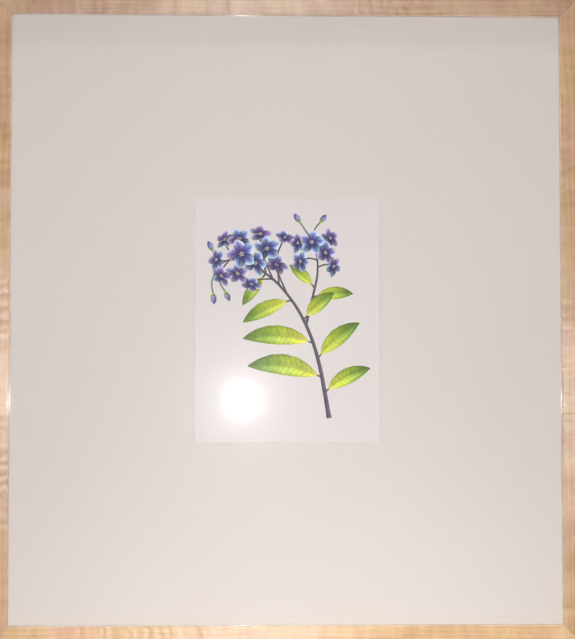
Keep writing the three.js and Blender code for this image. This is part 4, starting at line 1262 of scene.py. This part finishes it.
def to_linear(v):
    return np.where(v <= 0.04045, v / 12.92, ((v + 0.055) / 1.055) ** 2.4)


def print_sheet():
    """One flat sheet whose front is cut along every outline of the picture, with a colour at each corner."""
    shapes = shade_all(spray())
    boxes = [(o.min(0), o.max(0)) for o, _ in shapes]
    step = ART_STEP
    zs = np.arange(-150, 150, step * math.sqrt(3) / 2)
    xs = np.arange(-125, 125, step)
    gx, gz = np.meshgrid(xs, zs)
    gx = gx + (np.arange(len(zs)) % 2)[:, None] * step / 2
    grid = np.stack([gx.ravel(), gz.ravel()], -1)
    rng = np.random.default_rng(7)
    grid += rng.uniform(-0.13, 0.13, grid.shape) * step
    covered = np.zeros(len(grid), bool)
    for (outline, _), (lo, hi) in zip(shapes, boxes):
        near = np.flatnonzero(((grid > lo) & (grid < hi)).all(1) & ~covered)
        covered[near[inside(grid[near], outline)]] = True
    plain_x, plain_z = np.meshgrid(np.arange(-120, 121, 8.0), np.arange(-156, 157, 8.0))
    plain = np.stack([plain_x.ravel(), plain_z.ravel()], -1) + rng.uniform(-1.5, 1.5, (plain_x.size, 2))
    free = np.ones(len(plain), bool)
    for (outline, _), (lo, hi) in zip(shapes, boxes):
        near = np.flatnonzero(((plain > lo - 1) & (plain < hi + 1)).all(1) & free)
        free[near[inside(plain[near], outline)]] = False
    w, h = PRINT_W / 2, PRINT_H / 2
    verts = [(-w, -h), (w, -h), (w, h), (-w, h)]
    edges = []
    for outline, _ in shapes:
        first = len(verts)
        keep = [outline[0]]
        for p in outline[1:]:
            if np.hypot(*(p - keep[-1])) > 0.05:
                keep.append(p)
        if np.hypot(*(keep[0] - keep[-1])) < 0.05:
            keep.pop()
        verts += [tuple(p) for p in keep]
        edges += [(first + i, first + (i + 1) % len(keep)) for i in range(len(keep))]
    verts += [tuple(p) for p in grid[covered]] + [tuple(p) for p in plain[free]]
    got = delaunay_2d_cdt([Vector(p) for p in verts], edges, [], 0, 1e-4, False)
    pts = np.array([tuple(p) for p in got[0]])
    tris = np.array([tuple(f) for f in got[2]])
    a, b, cc = pts[tris[:, 0]], pts[tris[:, 1]], pts[tris[:, 2]]
    area = (b - a)[:, 0] * (cc - a)[:, 1] - (b - a)[:, 1] * (cc - a)[:, 0]
    tris[area < 0] = tris[area < 0][:, ::-1]
    tris = tris[np.abs(area) > 1e-9]
    mid = pts[tris].mean(1)
    top = np.full(len(tris), -1)
    for i in range(len(shapes) - 1, -1, -1):
        lo, hi = boxes[i]
        near = np.flatnonzero((top < 0) & ((mid > lo) & (mid < hi)).all(1))
        if len(near):
            top[near[inside(mid[near], shapes[i][0])]] = i
    ink = np.tile(np.array(PAPER_COLOUR), (len(tris), 3, 1))
    for i, (outline, paint) in enumerate(shapes):
        mine = np.flatnonzero(top == i)
        if len(mine):
            corners = pts[tris[mine]]
            corners = corners + (corners.mean(1, keepdims=True) - corners) * 0.04
            flat_ = corners.reshape(-1, 2)
            ink[mine] = to_linear(paint(flat_[:, 0], flat_[:, 1])).reshape(-1, 3, 3) * INK_GAIN
    n = len(pts)
    front = np.stack([pts[:, 0], np.full(n, PRINT_Y), pts[:, 1]], -1)
    frame_corners = [int(np.argmin(np.hypot(*(pts - q).T))) for q in ((-w, -h), (w, -h), (w, h), (-w, h))]
    back = np.array([(-w, PRINT_Y + PRINT_T, -h), (w, PRINT_Y + PRINT_T, -h), (w, PRINT_Y + PRINT_T, h), (-w, PRINT_Y + PRINT_T, h)])
    faces = tris.tolist()
    faces.append((n + 3, n + 2, n + 1, n))
    for k in range(4):
        m = (k + 1) % 4
        faces.append((frame_corners[m], frame_corners[k], n + k, n + m))
    mesh = bpy.data.meshes.new("print")
    mesh.from_pydata([tuple(p) for p in place(np.concatenate([front, back]))], [], [tuple(f) for f in faces])
    colours = mesh.color_attributes.new("ink", "FLOAT_COLOR", "CORNER")
    total = len(mesh.loops)
    values = np.ones((total, 4), np.float32)
    values[:, :3] = PAPER_COLOUR
    values[: len(tris) * 3, :3] = ink.reshape(-1, 3)
    colours.data.foreach_set("color", values.ravel())
    uv = mesh.uv_layers.new(name="OFBake")
    flat_uv = np.zeros((total, 2), np.float32)
    place_uv = (pts[tris].reshape(-1, 2) + np.array([w, h])) / PRINT_H * 0.98 + 0.01
    flat_uv[: len(tris) * 3] = place_uv
    rest = np.arange(len(tris) * 3, total)
    flat_uv[rest[:4]] = [(0.81, 0.02), (0.98, 0.02), (0.98, 0.25), (0.81, 0.25)]
    for k in range(4):
        x0 = 0.82 + 0.03 * k
        flat_uv[rest[4 + 4 * k : 8 + 4 * k]] = [(x0, 0.3), (x0 + 0.02, 0.3), (x0 + 0.02, 0.9), (x0, 0.9)]
    uv.data.foreach_set("uv", flat_uv.ravel())
    mesh.materials.append(printed("print_paper"))
    made = bpy.data.objects.new("print", mesh)
    bpy.context.scene.collection.objects.link(made)
    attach(made, "frame")
    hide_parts("print_sheet")
    return made


ART_STEP = 0.55
INK_GAIN = 1.0
print_sheet()
# ---- light levels -------------------------------------------------------------------------------------------

WORLD_COLOUR, WORLD_FRONT, WORLD_ABOVE, WORLD_BACK = (1.0, 0.99, 0.985), 0.13, 0.36, 0.5
MIDDLE = (0.0, -0.02, -0.18)
LAMPS = [
    # name, place, aim, size, power, colour, mirrored by gloss, shape, spread
    ("left_soft", (-2.0, -1.9, 0.3), MIDDLE, (1.2, 1.4), 0.5, (1.0, 0.97, 0.95), True),
    ("right_soft", (2.1, -1.9, 0.3), MIDDLE, (1.2, 1.4), 1.1, (1.0, 0.97, 0.95), True),
    ("top_soft", (0.02, -0.315, 1.15), (0.0, -0.02, -0.1), (0.4, 0.11), 4.25, (1.0, 0.965, 0.93), True),
    ("near_camera", (-0.048, -2.085, -0.285), (0.0, -0.02, -0.22), (0.0355,), 9.5, (1.0, 1.0, 1.0), True, "DISK", 105.0),
    ("back_soft", (0.9, 2.4, 0.7), MIDDLE, (2.7, 2.2), 33.0, (1.0, 0.985, 0.97), True),
    ("over_soft", (0.0, 2.6, 2.3), (0.0, 1.3, -1.25), (3.4, 2.0), 42.0, (1.0, 0.99, 0.98), True),
]
BEAM = ("low_beam", (0.05, -1.95, -0.42), (0.03, 0.0, -0.95), 42.0, 0.15, 56.0, (1.0, 0.975, 0.945))  # place, aim, cone, size, power


# ---- the pieces that stay as they are: their finishes -----------------------------------------------------


def finish_node(name, material):
    nodes[name].data.materials.clear()
    nodes[name].data.materials.append(material)


steel = plated("spring_steel", (0.30, 0.31, 0.33), (0.33, 0.31, 0.27), (0.25, 0.28, 0.33), 0.38, (1.0, 1.0, 6.0))
tissue = board("hinge_tissue", (0.86, 0.84, 0.78), tooth=2.0)
linen = woven("linen_tape", (0.82, 0.79, 0.72))
finish_node("glazing", glass("picture_glass"))
finish_node("mount_board", board("mount_board", (0.84, 0.81, 0.75)))
finish_node("backing_board", foam("foam_board"))
finish_node("mat_hinge_tape", linen)
for name in ("print_hinge_left", "print_hinge_right"):
    finish_node(name, tissue)
for name in nodes:
    if name.startswith(("framers_point", "v_nail")):
        finish_node(name, steel)

# ---- the stage: floor and soft light ------------------------------------------------------------------------

FLOOR_Z = -1.6


def make_floor():
    n = Nodes("floor_paint")
    v = n.coords((1, 1, 1))
    cloud = n.noise(v, 3.0, 3.0, 0.5)
    colour = n.ramp(cloud, [(0.3, (0.70, 0.69, 0.675)), (0.7, (0.73, 0.72, 0.705))])
    paint = n.shader(colour, 0.8)
    mesh = bpy.data.meshes.new("floor")
    s = 4.0
    mesh.from_pydata([(-s, -s, FLOOR_Z), (s, -s, FLOOR_Z), (s, s, FLOOR_Z), (-s, s, FLOOR_Z)], [], [(0, 1, 2, 3)])
    mesh.materials.append(paint)
    floor = bpy.data.objects.new("floor", mesh)
    bpy.context.scene.collection.objects.link(floor)


make_floor()

def make_world():
    """Soft light from all round, brighter above and behind the frame than in front of its glass."""
    world = bpy.data.worlds.new("world")
    bpy.context.scene.world = world
    world.use_nodes = True
    tree = world.node_tree
    background = tree.nodes["Background"]
    background.inputs["Color"].default_value = (*WORLD_COLOUR, 1)
    where = tree.nodes.new("ShaderNodeTexCoord")
    part = tree.nodes.new("ShaderNodeSeparateXYZ")
    front = tree.nodes.new("ShaderNodeMapRange")
    level = tree.nodes.new("ShaderNodeMapRange")
    for node, span in ((front, (0.2, 0.75, WORLD_FRONT, WORLD_ABOVE)), (level, (-0.4, 0.4, WORLD_FRONT, WORLD_BACK))):
        node.interpolation_type = "SMOOTHSTEP"
        for key, value in zip(("From Min", "From Max", "To Min", "To Max"), span):
            node.inputs[key].default_value = value
    tree.links.new(where.outputs["Generated"], part.inputs[0])
    tree.links.new(part.outputs[2], front.inputs["Value"])
    tree.links.new(part.outputs[1], level.inputs["Value"])
    tree.links.new(front.outputs[0], level.inputs["To Min"])
    tree.links.new(level.outputs[0], background.inputs["Strength"])


make_world()


def put_lamp(name, light, where, aim, power, colour, mirrored):
    light.energy = power
    light.color = colour
    made = bpy.data.objects.new(name, light)
    made.visible_glossy = mirrored
    made.visible_camera = False
    made.location = where
    made.rotation_mode = "QUATERNION"
    made.rotation_quaternion = (Vector(aim) - Vector(where)).to_track_quat("-Z", "Y")
    bpy.context.scene.collection.objects.link(made)


def lamp(name, where, aim, size, power, colour, mirrored=True, shape="RECTANGLE", spread=180.0):
    light = bpy.data.lights.new(name, "AREA")
    light.shape = shape
    light.size = size[0]
    light.spread = math.radians(spread)
    if shape in ("RECTANGLE", "ELLIPSE"):
        light.size_y = size[1]
    put_lamp(name, light, where, aim, power, colour, mirrored)


def beam(name, where, aim, cone, size, power, colour):
    light = bpy.data.lights.new(name, "SPOT")
    light.spot_size = math.radians(cone)
    light.spot_blend = 1.0
    light.shadow_soft_size = size
    put_lamp(name, light, where, aim, power, colour, False)


for values in LAMPS:
    lamp(*values)
beam(*BEAM)

view_settings = bpy.context.scene.view_settings
view_settings.view_transform = "Standard"
view_settings.look = "None"
view_settings.exposure = 0.0
view_settings.gamma = 1.0
